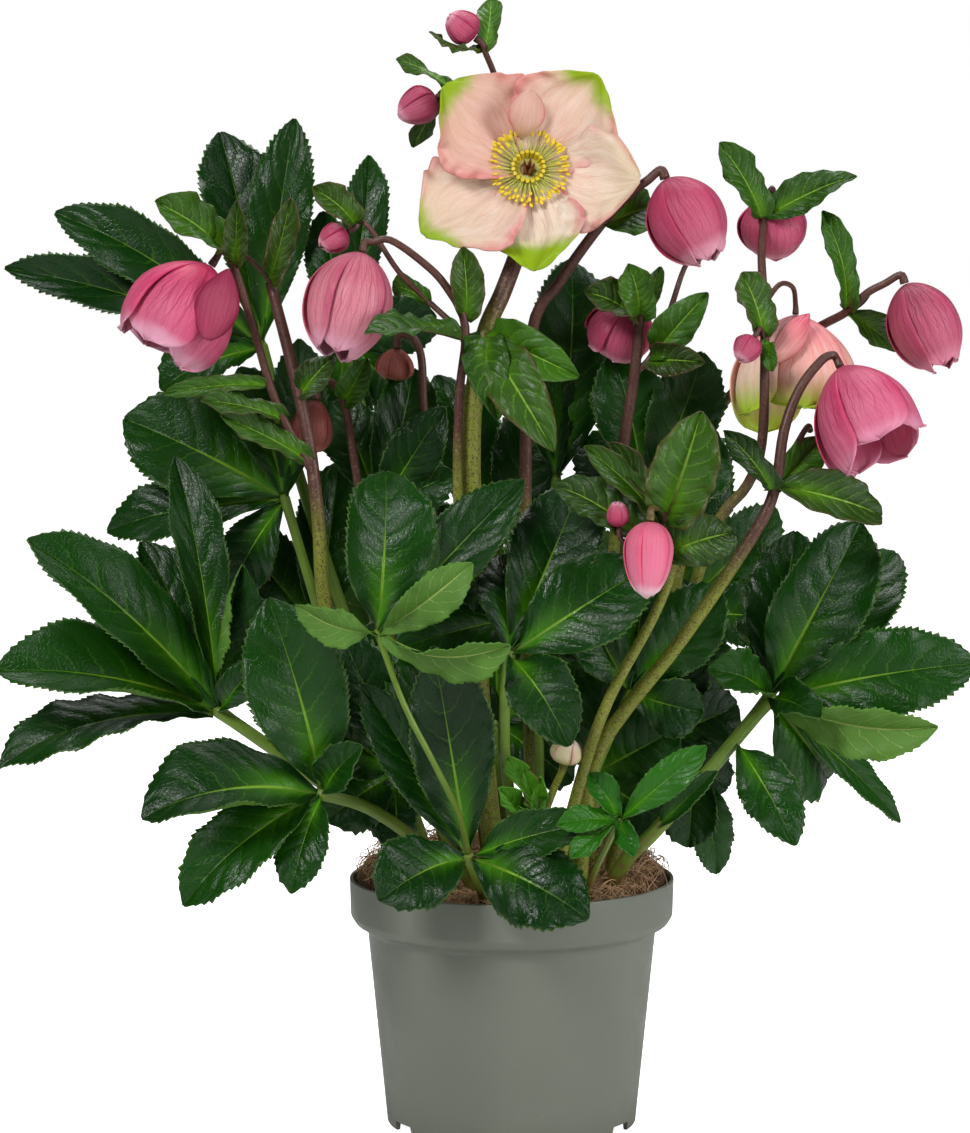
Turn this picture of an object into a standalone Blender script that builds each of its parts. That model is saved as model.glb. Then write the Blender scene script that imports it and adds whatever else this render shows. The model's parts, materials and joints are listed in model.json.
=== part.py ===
"""A potted Christmas rose: hellebore leaves, leafy flower stems and blooms in a nursery pot.

The origin is the middle of the pot's base, +Z is up and the best side of the plant faces -Y.
Every size below is in millimetres; a mesh is turned into metres when it is made.
"""
import math
from dataclasses import dataclass, field

import bmesh
import bpy
from mathutils import Matrix, Vector

MM = 0.001
GAP = 0.3
HOLE_MARGIN = 0.45

# The pot: a round, slightly tapered nursery pot with a deep rim band and a raised floor
POT_HEIGHT = 130.0
RIM_RADIUS = 85.0
RIM_DEPTH = 19.5
RIM_DRAFT = 0.6
RIM_WALL = 1.9
SHOULDER_DROP = 4.0
SHOULDER_STEP = 3.0
NECK_RADIUS = 75.6
NECK_Z = 103.0
BASE_RADIUS = 65.3
POT_WALL = 1.6
FOOT_WALL = 2.4
FLOOR_Z = 6.0
BOSS_RADIUS = 18.0
BOSS_SLOPE = 4.0
POT_STEPS = 26
NOTCH_COUNT = 6
NOTCH_WIDTH = 15.0
NOTCH_HEIGHT = 5.0
NOTCH_REACH = 12.0
NOTCH_FLARE = 1.3
NOTCH_START = 30.0
DRAIN_COUNT = 4
DRAIN_RADIUS = 5.0
DRAIN_RING = 42.0
DRAIN_START = 45.0
DRAIN_SIDES = 10

# The root ball, and how far the stems stand in it
SOIL_TOP = 122.0
SOIL_MOUND = 18.0
SOIL_RIPPLE = 1.6
SOIL_EDGE_DROP = 3.0
SOIL_RINGS = (32.0, 60.0)
SOIL_RIM_GAP = 4.6
STEM_BOTTOM = 100.0
SOIL_LINE = 128.0

# Blades: a shape is (rise, fall) of the outline towards its base and its tip
LEAF_THICKNESS = 0.9
SEPAL_THICKNESS = 0.9
LEAF_SHAPE = (1.2, 0.74)
BRACT_SHAPE = (0.85, 0.75)
SEPAL_SHAPE = (0.5, 0.45)
TOOTH = 0.05
TOOTH_FROM = 0.4
ARCH_PLACE = 0.45
WAVE_TURNS = 1.25
WAVE_SHIFT = 0.4
FLAT_FOOT = 0.35
STALK_HALF = 1.0
LONG_LEAFLET = 58.0
LEAST_ROWS = 3
FAN_ROLL = 0.16

# Stalks
SIX_SIDED_FROM = 4.2
HUB_SWELL = 1.3
HUB_END = 0.7
STALK_SPREAD = 1.15
STALK_SQUARE = 4.0

# Cupped blooms and buds, both of five wrapped sepals
SEPALS = 5
SEPAL_COLUMNS = (0.0, 0.5, 0.94)
SEPAL_OVERLAP = 0.06
SEPAL_NOTCH = 0.16
CUP_ROWS = 3
CUP_WIDEST = 0.42
BUD_RADIUS = 13.0
SMALL_BUD = 9.5
BUD_SWELL = 1.1
BUD_STEP = 0.28
BUD_TAPER = 0.25


@dataclass
class Blade:
    """One leaflet, bract or flat sepal, from its base to its tip."""
    tip: tuple
    width: float
    arch: float = 7.0
    fold: float = 0.16
    face: tuple = None
    base: tuple = None
    twist: float = 0.0
    wave: float = 1.0
    rows: int = 0
    shape: tuple = LEAF_SHAPE


@dataclass
class Leaf:
    """A leaf: its stalk from the soil to the hub, and the leaflets round the hub."""
    root: tuple
    via: list
    hub: tuple
    leaflets: list
    stalk: float = 2.6
    face: tuple = (0.0, -0.8, 0.6)
    extras: list = field(default_factory=list)


@dataclass
class Stem:
    """A leafy flower stem: its main run, its side branches and its bracts."""
    run: list
    radii: tuple
    bloom: str = None
    branches: list = field(default_factory=list)
    bracts: list = field(default_factory=list)
    face: tuple = (0.0, -0.9, 0.4)


@dataclass
class Bloom:
    """A cupped bloom or bud on the end of its stalk."""
    seat: tuple
    axis: tuple
    length: float
    radius: float
    mouth: float = 0.75
    turn: float = 0.0
    colour: tuple = (0.52, 0.09, 0.20)


def bract(base, tip, width, **more):
    """A small stem leaf."""
    settings = dict(arch=3.0, fold=0.22, rows=3, shape=BRACT_SHAPE, wave=0.5)
    settings.update(more)
    return Blade(tip=tip, width=width, base=base, **settings)


LEAVES = {
    "leaf_left": Leaf(
        root=(-42, -26), via=[(-75, -32, 166), (-115, -33, 196)], hub=(-151, -30, 221), stalk=3.2,
        face=(0.15, -0.85, 0.5),
        leaflets=[
            Blade((-243, -60, 316), 56, arch=8),
            Blade((-260, -78, 252), 54, arch=10),
            Blade((-264, -66, 206), 44, arch=8, face=(0.1, -0.7, 0.7)),
            Blade((-192, -4, 308), 40, arch=5),
            Blade((-172, -6, 353), 30, arch=6),
            Blade((-136, -46, 296), 34, arch=-6, fold=0.5, face=(0.5, -0.8, 0.2)),
            Blade((-127, -58, 252), 18, arch=4),
        ]),
    "leaf_front_left": Leaf(
        root=(-30, -42), via=[(-42, -58, 152), (-70, -72, 176)], hub=(-96, -80, 186), stalk=3.0,
        face=(0.1, -0.75, 0.6),
        leaflets=[
            Blade((-186, -112, 184), 66, arch=10, fold=0.1),
            Blade((-166, -122, 140), 38, arch=8),
            Blade((-111, -116, 143), 26, arch=5),
            Blade((-122, -96, 287), 52, arch=8, face=(0.2, -0.95, 0.1)),
            Blade((-76, -102, 214), 24, arch=4),
        ]),
    "leaf_front": Leaf(
        root=(-13, -60), via=[(-16, -68, 138)], hub=(-22, -82, 154), stalk=3.4,
        face=(0.0, -0.8, 0.6),
        leaflets=[
            Blade((-67, -112, 138), 42, arch=6),
            Blade((38, -120, 131), 46, arch=9, fold=0.1),
            Blade((42, -101, 176), 26, arch=6),
            Blade((-38, -104, 262), 46, arch=-4, face=(0.0, -1.0, 0.1)),
            Blade((-72, -94, 243), 30, arch=-3, face=(0.0, -1.0, 0.1)),
        ],
        extras=[
            Leaf(root=None, via=[(-27, -98, 178), (-38, -112, 204), (-54, -114, 236)],
                 hub=(-67, -106, 270), stalk=2.4, face=(0.0, -0.95, 0.3),
                 leaflets=[
                     Blade((-62, -92, 353), 50, arch=7, fold=0.1),
                     Blade((4, -92, 346), 36, arch=-5, fold=0.35),
                     Blade((-20, -128, 307), 24, arch=5, face=(-0.3, -0.9, -0.3)),
                     Blade((-1, -130, 266), 28, arch=10, face=(0.0, -0.8, -0.6), fold=0.3),
                     Blade((-107, -124, 285), 20, arch=5, face=(0.0, -0.7, -0.7)),
                 ]),
        ]),
    "leaf_middle": Leaf(
        root=(4, -44), via=[(0, -60, 170), (-4, -76, 205), (-4, -88, 235)], hub=(-2, -95, 258),
        stalk=2.8, face=(0.0, -0.9, 0.45),
        leaflets=[
            Blade((29, -126, 217), 36, arch=10, face=(0.1, -0.8, 0.6)),
            Blade((69, -84, 303), 48, arch=8, face=(0.2, -0.85, 0.5)),
            Blade((36, -58, 344), 44, arch=6),
            Blade((-6, -68, 308), 32, arch=5, fold=0.3),
        ]),
    "leaf_centre_back": Leaf(
        root=(8, 36), via=[(14, 40, 230)], hub=(24, 42, 335), face=(0.0, -0.95, 0.3),
        leaflets=[
            Blade((36, 62, 455), 54, arch=8),
            Blade((8, 50, 412), 34, arch=5, fold=0.25),
        ]),
    "leaf_right_back": Leaf(
        root=(36, 28), via=[(50, 34, 220)], hub=(70, 34, 325), face=(0.1, -0.95, 0.3),
        leaflets=[
            Blade((55, 30, 404), 42, arch=5),
            Blade((34, 40, 356), 34, arch=4),
            Blade((104, 44, 404), 40, arch=6),
            Blade((116, 26, 345), 36, arch=6),
        ]),
    "leaf_right": Leaf(
        root=(48, -34), via=[(60, -44, 148), (72, -50, 161), (100, -38, 190)], hub=(133, -20, 226),
        stalk=3.5, face=(-0.1, -0.85, 0.5),
        leaflets=[
            Blade((182, -10, 318), 54, arch=7),
            Blade((204, 24, 300), 46, arch=6),
            Blade((148, 6, 312), 42, arch=5),
            Blade((241, -24, 246), 46, arch=10),
            Blade((214, -64, 213), 32, arch=6, fold=0.3, face=(0.0, -0.9, -0.4)),
            Blade((170, 4, 178), 50, arch=6),
            Blade((209, 18, 155), 20, arch=8),
            Blade((144, -64, 157), 30, arch=5, base=(116, -30, 204), face=(0.3, -0.9, 0.2)),
            Blade((126, 4, 268), 38, arch=4, face=(0.3, -0.9, 0.1)),
            Blade((101, -52, 247), 26, arch=6),
            Blade((156, -64, 222), 22, arch=5, face=(0.0, -0.7, 0.7)),
            Blade((103, -68, 196), 14, arch=3, base=(74, -49, 163)),
        ]),
    "leaf_young": Leaf(
        root=(36, -55), via=[(43, -76, 150)], hub=(53, -94, 175), stalk=1.8,
        face=(0.0, -0.9, 0.4),
        leaflets=[
            Blade((96, -106, 214), 18, arch=4, rows=3),
            Blade((38, -98, 200), 16, arch=3, rows=2),
            Blade((22, -113, 177), 14, arch=3, rows=2),
            Blade((28, -116, 160), 12, arch=3, rows=2),
            Blade((60, -110, 160), 12, arch=3, rows=2),
        ]),
    "leaf_right_low": Leaf(
        root=(62, 6), via=[(80, 20, 168)], hub=(96, 30, 186), stalk=2.2, face=(0.3, -0.9, 0.3),
        leaflets=[
            Blade((94, 26, 140), 32, arch=3),
            Blade((112, 38, 122), 24, arch=5),
        ]),
    "leaf_upper_left": Leaf(
        root=(-50, 22), via=[(-75, 36, 220), (-108, 50, 320)], hub=(-133, 60, 405), stalk=3.0,
        face=(0.1, -0.9, 0.4),
        leaflets=[
            Blade((-155, 72, 520), 50, arch=8),
            Blade((-115, 62, 527), 34, arch=6, face=(-0.2, -0.95, 0.2)),
            Blade((-242, 48, 480), 44, arch=12),
            Blade((-268, 40, 450), 40, arch=7, face=(0.1, -0.85, 0.5)),
            Blade((-188, 44, 386), 38, arch=4),
        ]),
    "leaf_upper_middle": Leaf(
        root=(-34, 34), via=[(-52, 46, 240), (-72, 56, 340)], hub=(-89, 62, 410), stalk=2.4,
        face=(0.0, -0.95, 0.3),
        leaflets=[
            Blade((-73, 70, 509), 26, arch=8, fold=0.3),
            Blade((-102, 68, 478), 28, arch=5),
            Blade((-92, 74, 352), 36, arch=4),
            Blade((-54, 72, 372), 30, arch=4),
            Blade((-38, 66, 420), 32, arch=4),
        ]),
    "leaf_left_back": Leaf(
        root=(-56, 2), via=[(-82, 8, 200), (-102, 14, 270)], hub=(-119, 18, 327), stalk=2.6,
        face=(0.1, -0.85, 0.5),
        leaflets=[
            Blade((-204, 24, 370), 60, arch=3),
            Blade((-216, 22, 314), 36, arch=3),
            Blade((-150, 26, 275), 34, arch=5),
            Blade((-142, 22, 398), 32, arch=5),
            Blade((-108, 24, 412), 30, arch=4),
        ]),
    "leaf_fill_right": Leaf(
        root=(22, -36), via=[(40, -40, 185)], hub=(60, -40, 232), stalk=2.4,
        face=(0.0, -1.0, 0.05),
        leaflets=[
            Blade((106, -42, 288), 38, arch=3),
            Blade((98, -44, 222), 32, arch=3),
            Blade((34, -42, 280), 36, arch=3),
            Blade((69, -40, 306), 30, arch=3),
        ]),
    "leaf_fill_left": Leaf(
        root=(-20, -36), via=[(-40, -50, 170)], hub=(-60, -60, 205), stalk=2.4,
        face=(0.0, -1.0, 0.05),
        leaflets=[
            Blade((-88, -64, 266), 36, arch=3),
            Blade((-42, -60, 260), 32, arch=3),
        ]),
    "leaf_far_right": Leaf(
        root=(46, 40), via=[(66, 54, 180)], hub=(90, 66, 262), stalk=2.4, face=(0.1, -0.9, 0.3),
        leaflets=[
            Blade((68, 76, 350), 38, arch=5),
            Blade((106, 74, 368), 40, arch=5),
            Blade((146, 72, 318), 38, arch=5),
            Blade((156, 70, 258), 36, arch=6),
            Blade((112, 78, 214), 34, arch=6),
        ]),
    "leaf_far_middle": Leaf(
        root=(-4, 48), via=[(-4, 60, 180)], hub=(-6, 66, 296), stalk=2.4, face=(0.0, -0.9, 0.3),
        leaflets=[
            Blade((-38, 72, 392), 44, arch=5),
            Blade((22, 74, 388), 40, arch=5),
            Blade((-66, 74, 306), 36, arch=5),
            Blade((40, 76, 296), 36, arch=5),
        ]),
    "leaf_far_left": Leaf(
        root=(-48, 44), via=[(-72, 50, 180)], hub=(-104, 56, 252), stalk=2.4,
        face=(-0.1, -0.9, 0.3),
        leaflets=[
            Blade((-150, 66, 306), 40, arch=5),
            Blade((-92, 66, 345), 42, arch=5),
            Blade((-166, 60, 244), 34, arch=6),
        ]),
    "leaf_back_left": Leaf(
        root=(-34, 56), via=[(-48, 84, 176)], hub=(-70, 106, 224), stalk=2.4, face=(-0.2, 0.6, 0.7),
        leaflets=[
            Blade((-142, 132, 258), 40, arch=5),
            Blade((-92, 150, 306), 42, arch=5),
            Blade((-30, 152, 290), 40, arch=5),
            Blade((-106, 156, 196), 34, arch=6),
        ]),
    "leaf_back_middle": Leaf(
        root=(8, 64), via=[(10, 90, 164)], hub=(14, 114, 194), stalk=2.4, face=(0.0, 0.6, 0.8),
        leaflets=[
            Blade((-42, 168, 186), 40, arch=6),
            Blade((22, 190, 208), 44, arch=6),
            Blade((74, 162, 180), 38, arch=6),
        ]),
    "leaf_back_right": Leaf(
        root=(40, 56), via=[(58, 86, 184)], hub=(82, 110, 232), stalk=2.4, face=(0.2, 0.6, 0.7),
        leaflets=[
            Blade((42, 150, 300), 40, arch=5),
            Blade((104, 152, 312), 42, arch=5),
            Blade((158, 128, 266), 38, arch=5),
            Blade((140, 156, 206), 34, arch=6),
        ]),
    "leaf_centre_left": Leaf(
        root=(-27, -4), via=[(-40, 4, 220)], hub=(-70, 16, 322), stalk=2.4,
        face=(0.1, -0.95, 0.3),
        leaflets=[
            Blade((-50, 32, 396), 36, arch=5),
            Blade((-36, -9, 376), 28, arch=4),
            Blade((-92, 26, 380), 34, arch=4),
            Blade((-30, 2, 342), 30, arch=4),
        ]),
    "leaf_core_left": Leaf(
        root=(-40, -16), via=[(-48, -22, 160)], hub=(-60, -28, 188), stalk=2.4,
        face=(0.0, -0.95, 0.3),
        leaflets=[
            Blade((-104, -44, 222), 44, arch=5),
            Blade((-70, -34, 256), 44, arch=5),
            Blade((-26, -34, 228), 40, arch=5),
            Blade((-96, -42, 166), 38, arch=5),
            Blade((-58, -50, 152), 30, arch=4),
        ]),
    "leaf_core_right": Leaf(
        root=(30, -8), via=[(36, -12, 158)], hub=(42, -14, 186), stalk=2.4,
        face=(0.0, -0.95, 0.3),
        leaflets=[
            Blade((86, -38, 214), 44, arch=5),
            Blade((52, -16, 254), 40, arch=5),
            Blade((18, -6, 232), 36, arch=5),
            Blade((82, -36, 162), 38, arch=5),
        ]),
    "leaf_core_back": Leaf(
        root=(-4, 24), via=[(-6, 30, 170)], hub=(-8, 36, 206), stalk=2.4, face=(0.0, -0.95, 0.3),
        leaflets=[
            Blade((-50, 28, 244), 40, arch=5),
            Blade((-10, 44, 284), 40, arch=5),
            Blade((40, 28, 246), 40, arch=5),
            Blade((-46, 35, 180), 34, arch=5),
            Blade((34, 26, 176), 34, arch=5),
        ]),
    "leaf_core_far_left": Leaf(
        root=(-60, 22), via=[(-72, 28, 170)], hub=(-88, 34, 204), stalk=2.4,
        face=(-0.1, -0.95, 0.3),
        leaflets=[
            Blade((-138, 38, 216), 36, arch=5),
            Blade((-108, 38, 262), 38, arch=5),
            Blade((-62, 38, 262), 36, arch=5),
            Blade((-124, 44, 168), 32, arch=5),
        ]),
    "leaf_core_far_right": Leaf(
        root=(56, 30), via=[(64, 36, 165)], hub=(76, 42, 196), stalk=2.4, face=(0.1, -0.95, 0.3),
        leaflets=[
            Blade((124, 46, 214), 38, arch=5),
            Blade((92, 46, 252), 38, arch=5),
            Blade((56, 62, 250), 36, arch=5),
            Blade((118, 52, 168), 32, arch=5),
        ]),
    "leaf_core_high": Leaf(
        root=(14, -22), via=[(14, -24, 210)], hub=(12, -26, 270), stalk=2.4,
        face=(0.0, -0.95, 0.3),
        leaflets=[
            Blade((12, -28, 328), 34, arch=5),
            Blade((48, -24, 308), 34, arch=5),
            Blade((44, -20, 256), 30, arch=5),
            Blade((-32, -46, 296), 34, arch=5),
            Blade((-60, -68, 258), 36, arch=5),
        ]),
}

BLOOMS = {
    "bloom_left": Bloom((-153, -34, 450), (-0.55, -0.15, -0.82), 52, 27, mouth=0.85, turn=20),
    "bloom_inner_left": Bloom((-76, -42, 457), (-0.25, -0.15, -0.95), 56, 22.5, mouth=0.6),
    "bud_left": Bloom((-84, -27, 467), (-0.85, -0.2, -0.45), 16, 7, mouth=0.3),
    "bud_top": Bloom((-19, 2, 566), (-0.75, -0.1, 0.62), 18, 8, mouth=0.3),
    "bud_top_left": Bloom((-39, 6, 536), (-0.88, -0.15, -0.45), 22, 9, mouth=0.15),
    "bloom_right_top": Bloom((78, -20, 494), (0.46, -0.15, -0.88), 49, 21, mouth=0.45),
    "bloom_right_back": Bloom((62, 12, 429), (-0.3, 0.45, -0.84), 28, 17, mouth=0.9),
    "bloom_right_far": Bloom((135, 11, 484), (0.05, 0.3, -0.95), 32, 17, mouth=0.6),
    "bloom_right_edge": Bloom((203, 0, 440), (0.42, -0.1, -0.9), 50, 20, mouth=0.45),
    "bloom_pale": Bloom((147, 4, 424), (0.0, -0.1, -0.99), 60, 31, mouth=0.95,
                        colour=(0.80, 0.50, 0.40)),
    "bloom_right_front": Bloom((166, -44, 399), (0.4, -0.33, -0.86), 55, 25, mouth=0.95),
    "bud_right": Bloom((122, -48, 414), (-0.5, -0.4, -0.75), 15, 6.5, mouth=0.3),
    "bud_middle": Bloom((67, -117, 327), (-0.05, -0.15, -0.98), 38, 12.5, mouth=0.25,
                        colour=(0.75, 0.15, 0.32)),
    "bud_small": Bloom((52, -108, 323), (-0.1, -0.1, 0.98), 13, 5, mouth=0.3),
    "bud_brown_left": Bloom((-101, -12, 381), (-0.15, -0.05, -0.98), 28, 10, mouth=0.6,
                            colour=(0.42, 0.13, 0.12)),
    "bud_brown_middle": Bloom((-60, 22, 406), (-0.1, 0.1, -0.98), 17, 9, mouth=0.6,
                              colour=(0.42, 0.13, 0.12)),
    "bud_low": Bloom((26, -68, 200), (0.2, -0.3, 0.93), 13, 7.5, mouth=0.3,
                     colour=(0.80, 0.62, 0.58)),
}

STEMS = {
    "stem_left": Stem(
        run=[(-44, -8, 0), (-60, -16, 175), (-84, -32, 240), (-96, -40, 280), (-99, -38, 320),
             (-104, -34, 361), (-113, -26, 400), (-124, -18, 441)],
        radii=(5.6, 3.0),
        branches=[
            ([(-102, -36, 345), (-116, -38, 371), (-124, -40, 392), (-132, -37, 420),
              (-141, -33, 448), (-147, -33, 458)], 2.6, 1.8, "bloom_left"),
            ([(-123, -19, 440), (-131, -22, 450), (-138, -25, 456)], 1.6, 1.2, None),
        ],
        bracts=[
            bract((-147, -33, 458), (-179, -60, 483), 27, arch=4),
            bract((-137, -25, 455), (-166, -18, 482), 10),
            bract((-141, -35, 450), (-139, -50, 483), 14, fold=0.4),
            bract((-124, -19, 440), (-112, -30, 484), 17),
            bract((-124, -40, 390), (-178, -46, 386), 12),
            bract((-116, -38, 372), (-157, -52, 384), 16),
            bract((-103, -36, 350), (-148, -48, 375), 18),
            bract((-109, -30, 384), (-91, -30, 405), 18),
        ]),
    "stem_centre": Stem(
        run=[(-8, -14, 0), (-14, -24, 190), (-18, -30, 253), (-21, -35, 336), (-20, -34, 380),
             (-14, -30, 415), (-5, -25, 436), (4, -14, 460), (8, -2, 476), (9, 3, 488)],
        radii=(6.6, 4.0), bloom="bloom_open",
        branches=[
            ([(-18, -31, 255), (-26, -40, 300), (-28, -43, 342), (-27, -42, 385), (-24, -40, 419),
              (-34, -42, 440), (-47, -42, 453), (-62, -42, 463), (-71, -41, 462)],
             3.0, 1.7, "bloom_inner_left"),
            ([(-25, -40, 416), (-43, -34, 432), (-58, -32, 447), (-72, -27, 468), (-78, -25, 472)],
             1.8, 1.3, "bud_left"),
            ([(8, 0, 480), (5, 9, 502), (-2, 10, 525), (-9, 8, 547), (-14, 4, 559)],
             1.9, 1.6, "bud_top"),
            ([(4, 9, 506), (-14, 11, 527), (-30, 8, 540)], 1.5, 1.2, "bud_top_left"),
        ],
        bracts=[
            bract((-80, -26, 471), (-101, -38, 490), 20),
            bract((-23, -38, 422), (-25, -42, 460), 20),
            bract((-25, -40, 413), (-73, -80, 420), 24, face=(0.0, -0.7, 0.7)),
            bract((-43, -34, 431), (-63, -26, 441), 14),
            bract((-15, -32, 414), (-7, -66, 374), 20, arch=8),
            bract((-15, -32, 414), (21, -72, 358), 24, arch=10),
            bract((-15, -32, 414), (33, -60, 394), 20, arch=8),
            bract((-16, 4, 561), (-41, -5, 571), 14, arch=-3, fold=-0.5, face=(0.0, -0.3, 1.0)),
            bract((-14, 4, 559), (-10, 17, 588), 15, fold=-0.22),
            bract((-31, 8, 540), (-60, 14, 557), 9, fold=-0.22),
            bract((-31, 8, 540), (-52, 22, 510), 10, fold=-0.22),
            bract((8, 4, 480), (58, 10, 510), 26),
            bract((8, 3, 478), (-46, 6, 490), 20),
        ]),
    "stem_right_top": Stem(
        run=[(12, 12, 0), (9, 6, 220), (7, 0, 330), (10, -5, 414), (25, -10, 442), (45, -15, 470),
             (61, -18, 487), (69, -19, 493)],
        radii=(4.4, 2.2), bloom="bloom_right_top",
        bracts=[bract((46, -15, 470), (76, 7, 481), 30)]),
    "stem_right_back": Stem(
        run=[(40, 6, 0), (47, 4, 220), (53, 2, 300), (58, 0, 355), (63, 0, 390), (66, 0, 420),
             (66, 3, 431), (64, 8, 434)],
        radii=(4.0, 2.4), bloom="bloom_right_back",
        branches=[
            ([(64, 0, 394), (72, 2, 402), (80, 5, 420), (88, 9, 444), (92, 12, 452)],
             2.2, 1.4, None),
        ],
        bracts=[
            bract((66, 0, 421), (38, -14, 438), 24, wave=2.0),
            bract((66, 0, 423), (61, -18, 450), 24, wave=2.0),
            bract((67, 3, 424), (77, 4, 449), 12),
            bract((72, 2, 402), (101, -6, 436), 22),
            bract((70, 2, 400), (99, -12, 400), 20),
        ]),
    "stem_right_far": Stem(
        run=[(50, -14, 0), (66, -20, 190), (86, -26, 260), (104, -28, 316), (120, -33, 338),
             (127, -38, 360), (128, -41, 400), (128, -32, 430), (128, -12, 455), (130, 1, 474),
             (132, 6, 483)],
        radii=(4.2, 1.7), bloom="bloom_right_far",
        branches=[
            ([(128, -40, 405), (127, -42, 414), (126, -44, 418)], 1.3, 1.2, "bud_right"),
            ([(128, -32, 430), (137, -18, 440), (145, -2, 438)], 1.5, 1.4, "bloom_pale"),
        ],
        bracts=[
            bract((130, 0, 473), (107, -10, 513), 22),
            bract((131, 1, 475), (177, -6, 498), 22),
            bract((128, -40, 414), (117, -34, 447), 22),
            bract((129, -42, 412), (131, -48, 396), 9, rows=3),
        ]),
    "stem_right_edge": Stem(
        run=[(60, 16, 0), (77, 28, 220), (93, 36, 310), (106, 42, 363), (120, 45, 384),
             (143, 43, 404), (162, 28, 417), (174, 10, 425), (184, 4, 435), (193, 2, 440)],
        radii=(3.8, 1.9), bloom="bloom_right_edge",
        branches=[([(174, 10, 424), (183, 14, 430), (188, 17, 437)], 1.3, 1.1, None)],
        bracts=[
            bract((174, 10, 425), (161, 2, 479), 17, arch=10),
            bract((174, 10, 424), (206, 32, 404), 18),
        ]),
    "stem_right_front": Stem(
        run=[(34, -42, 0), (37, -50, 165), (45, -56, 207), (86, -63, 263), (120, -61, 313),
             (132, -58, 337), (137, -54, 367), (145, -50, 388), (156, -46, 402), (162, -44, 405)],
        radii=(5.4, 1.8), bloom="bloom_right_front",
        branches=[([(133, -57, 345), (142, -48, 357), (150, -38, 368), (152, -34, 366)],
                   1.5, 1.8, None)],
        bracts=[
            bract((131, -59, 337), (106, -82, 369), 16),
            bract((133, -58, 340), (193, -34, 322), 28, arch=7),
            bract((134, -57, 339), (160, -28, 362), 22),
        ]),
    "stem_middle": Stem(
        run=[(20, -60, 0), (34, -68, 190), (48, -77, 233), (70, -85, 276), (79, -93, 302),
             (77, -99, 320), (73, -106, 332), (69, -112, 333)],
        radii=(4.0, 1.7), bloom="bud_middle",
        branches=[([(77, -99, 320), (66, -98, 316), (57, -104, 314)], 1.4, 1.2, "bud_small")],
        bracts=[
            bract((75, -102, 326), (92, -120, 381), 38, arch=6),
            bract((76, -100, 322), (35, -100, 364), 16, arch=4),
            bract((66, -98, 316), (20, -92, 346), 26),
            bract((77, -99, 320), (48, -96, 365), 16),
            bract((78, -97, 310), (111, -98, 320), 28, arch=8, fold=0.4, wave=1.5),
        ]),
    "stem_brown_left": Stem(
        run=[(-28, 14, 0), (-54, 6, 220), (-72, -1, 290), (-80, -3, 338), (-86, -3, 374),
             (-91, -5, 387), (-97, -9, 390)],
        radii=(3.2, 1.8), bloom="bud_brown_left",
        bracts=[bract((-87, -3, 378), (-74, -12, 402), 18)]),
    "stem_brown_middle": Stem(
        run=[(-12, 18, 0), (-28, 17, 230), (-42, 14, 320), (-46, 11, 373), (-47, 11, 400),
             (-51, 15, 411), (-56, 19, 413)],
        radii=(3.2, 1.8), bloom="bud_brown_middle",
        bracts=[]),
    "stem_low": Stem(
        run=[(8, -64, 0), (12, -65, 160), (20, -66, 184)],
        radii=(3.0, 1.8), bloom="bud_low",
        bracts=[
            bract((11, -65, 154), (2, -80, 180), 12, wave=2.0),
            bract((14, -65, 168), (6, -86, 200), 11, wave=2.0),
        ]),
}

# The open bloom: its tips and widths run round from the upper left sepal
OPEN_SEAT = (8, -8, 497)
OPEN_AXIS = (0.03, -0.94, 0.33)
OPEN_TIPS = [(-34, -24, 541), (43, -22, 546), (64, -28, 494), (11, -38, 449), (-45, -38, 467)]
OPEN_WIDTHS = [62, 58, 56, 52, 58]
OPEN_SEPAL_RISE = 3.0
OPEN_DISC_RISE = 8.0
OPEN_DISC_RADII = (2.0, 6.0)
STAMEN_RINGS = [(8, 14.0), (14, 19.0)]
STAMEN_DISC_RADII = (5.0, 4.5)
STAMEN_DISC_DEPTH = 2.4
STAMEN_FOOT = (1.4, 3.5)
STAMEN_HEAD_RISE = 9.0
STAMEN_RADII = (0.6, 1.3)


def smooth_path(points, per_span):
    """Points along a smooth curve through the given points."""
    anchors = [Vector(p) for p in points]
    anchors = [anchors[0] * 2 - anchors[1]] + anchors + [anchors[-1] * 2 - anchors[-2]]
    path = []
    for i in range(1, len(anchors) - 2):
        a, b, c, d = anchors[i - 1:i + 3]
        for step in range(per_span):
            t = step / per_span
            bend = (b * 2 + (c - a) * t + (a * 2 - b * 5 + c * 4 - d) * t ** 2
                    + (b * 3 - a - c * 3 + d) * t ** 3)
            path.append(bend / 2)
    path.append(anchors[-2])
    return path


def new_object(name, mesh):
    """A mesh object in the scene."""
    item = bpy.data.objects.new(name, mesh)
    bpy.context.scene.collection.objects.link(item)
    return item


def mesh_from(item):
    """The finished mesh of an object, with its modifiers applied."""
    bpy.context.view_layer.update()
    evaluated = item.evaluated_get(bpy.context.evaluated_depsgraph_get())
    return bpy.data.meshes.new_from_object(evaluated)


def settle(item):
    """Swap an object for a plain mesh object, with welded caps."""
    name = item.name
    mesh = mesh_from(item)
    bpy.data.objects.remove(item)
    work = bmesh.new()
    work.from_mesh(mesh)
    bmesh.ops.remove_doubles(work, verts=work.verts, dist=0.00001)
    work.to_mesh(mesh)
    work.free()
    return new_object(name, mesh)


def fuse(name, pieces, cutting=False):
    """Join overlapping closed pieces in one body, or cut them out of the first."""
    body = pieces[0]
    group = bpy.data.collections.new(name + "_pieces")
    for piece in pieces[1:]:
        group.objects.link(piece)
    if pieces[1:]:
        step = body.modifiers.new("Join", "BOOLEAN")
        step.operation = "DIFFERENCE" if cutting else "UNION"
        step.operand_type = "COLLECTION"
        step.collection = group
        step.solver = "EXACT"
    mesh = mesh_from(body)
    for piece in pieces:
        bpy.data.objects.remove(piece)
    bpy.data.collections.remove(group)
    mesh.name = name
    return new_object(name, mesh)


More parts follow.
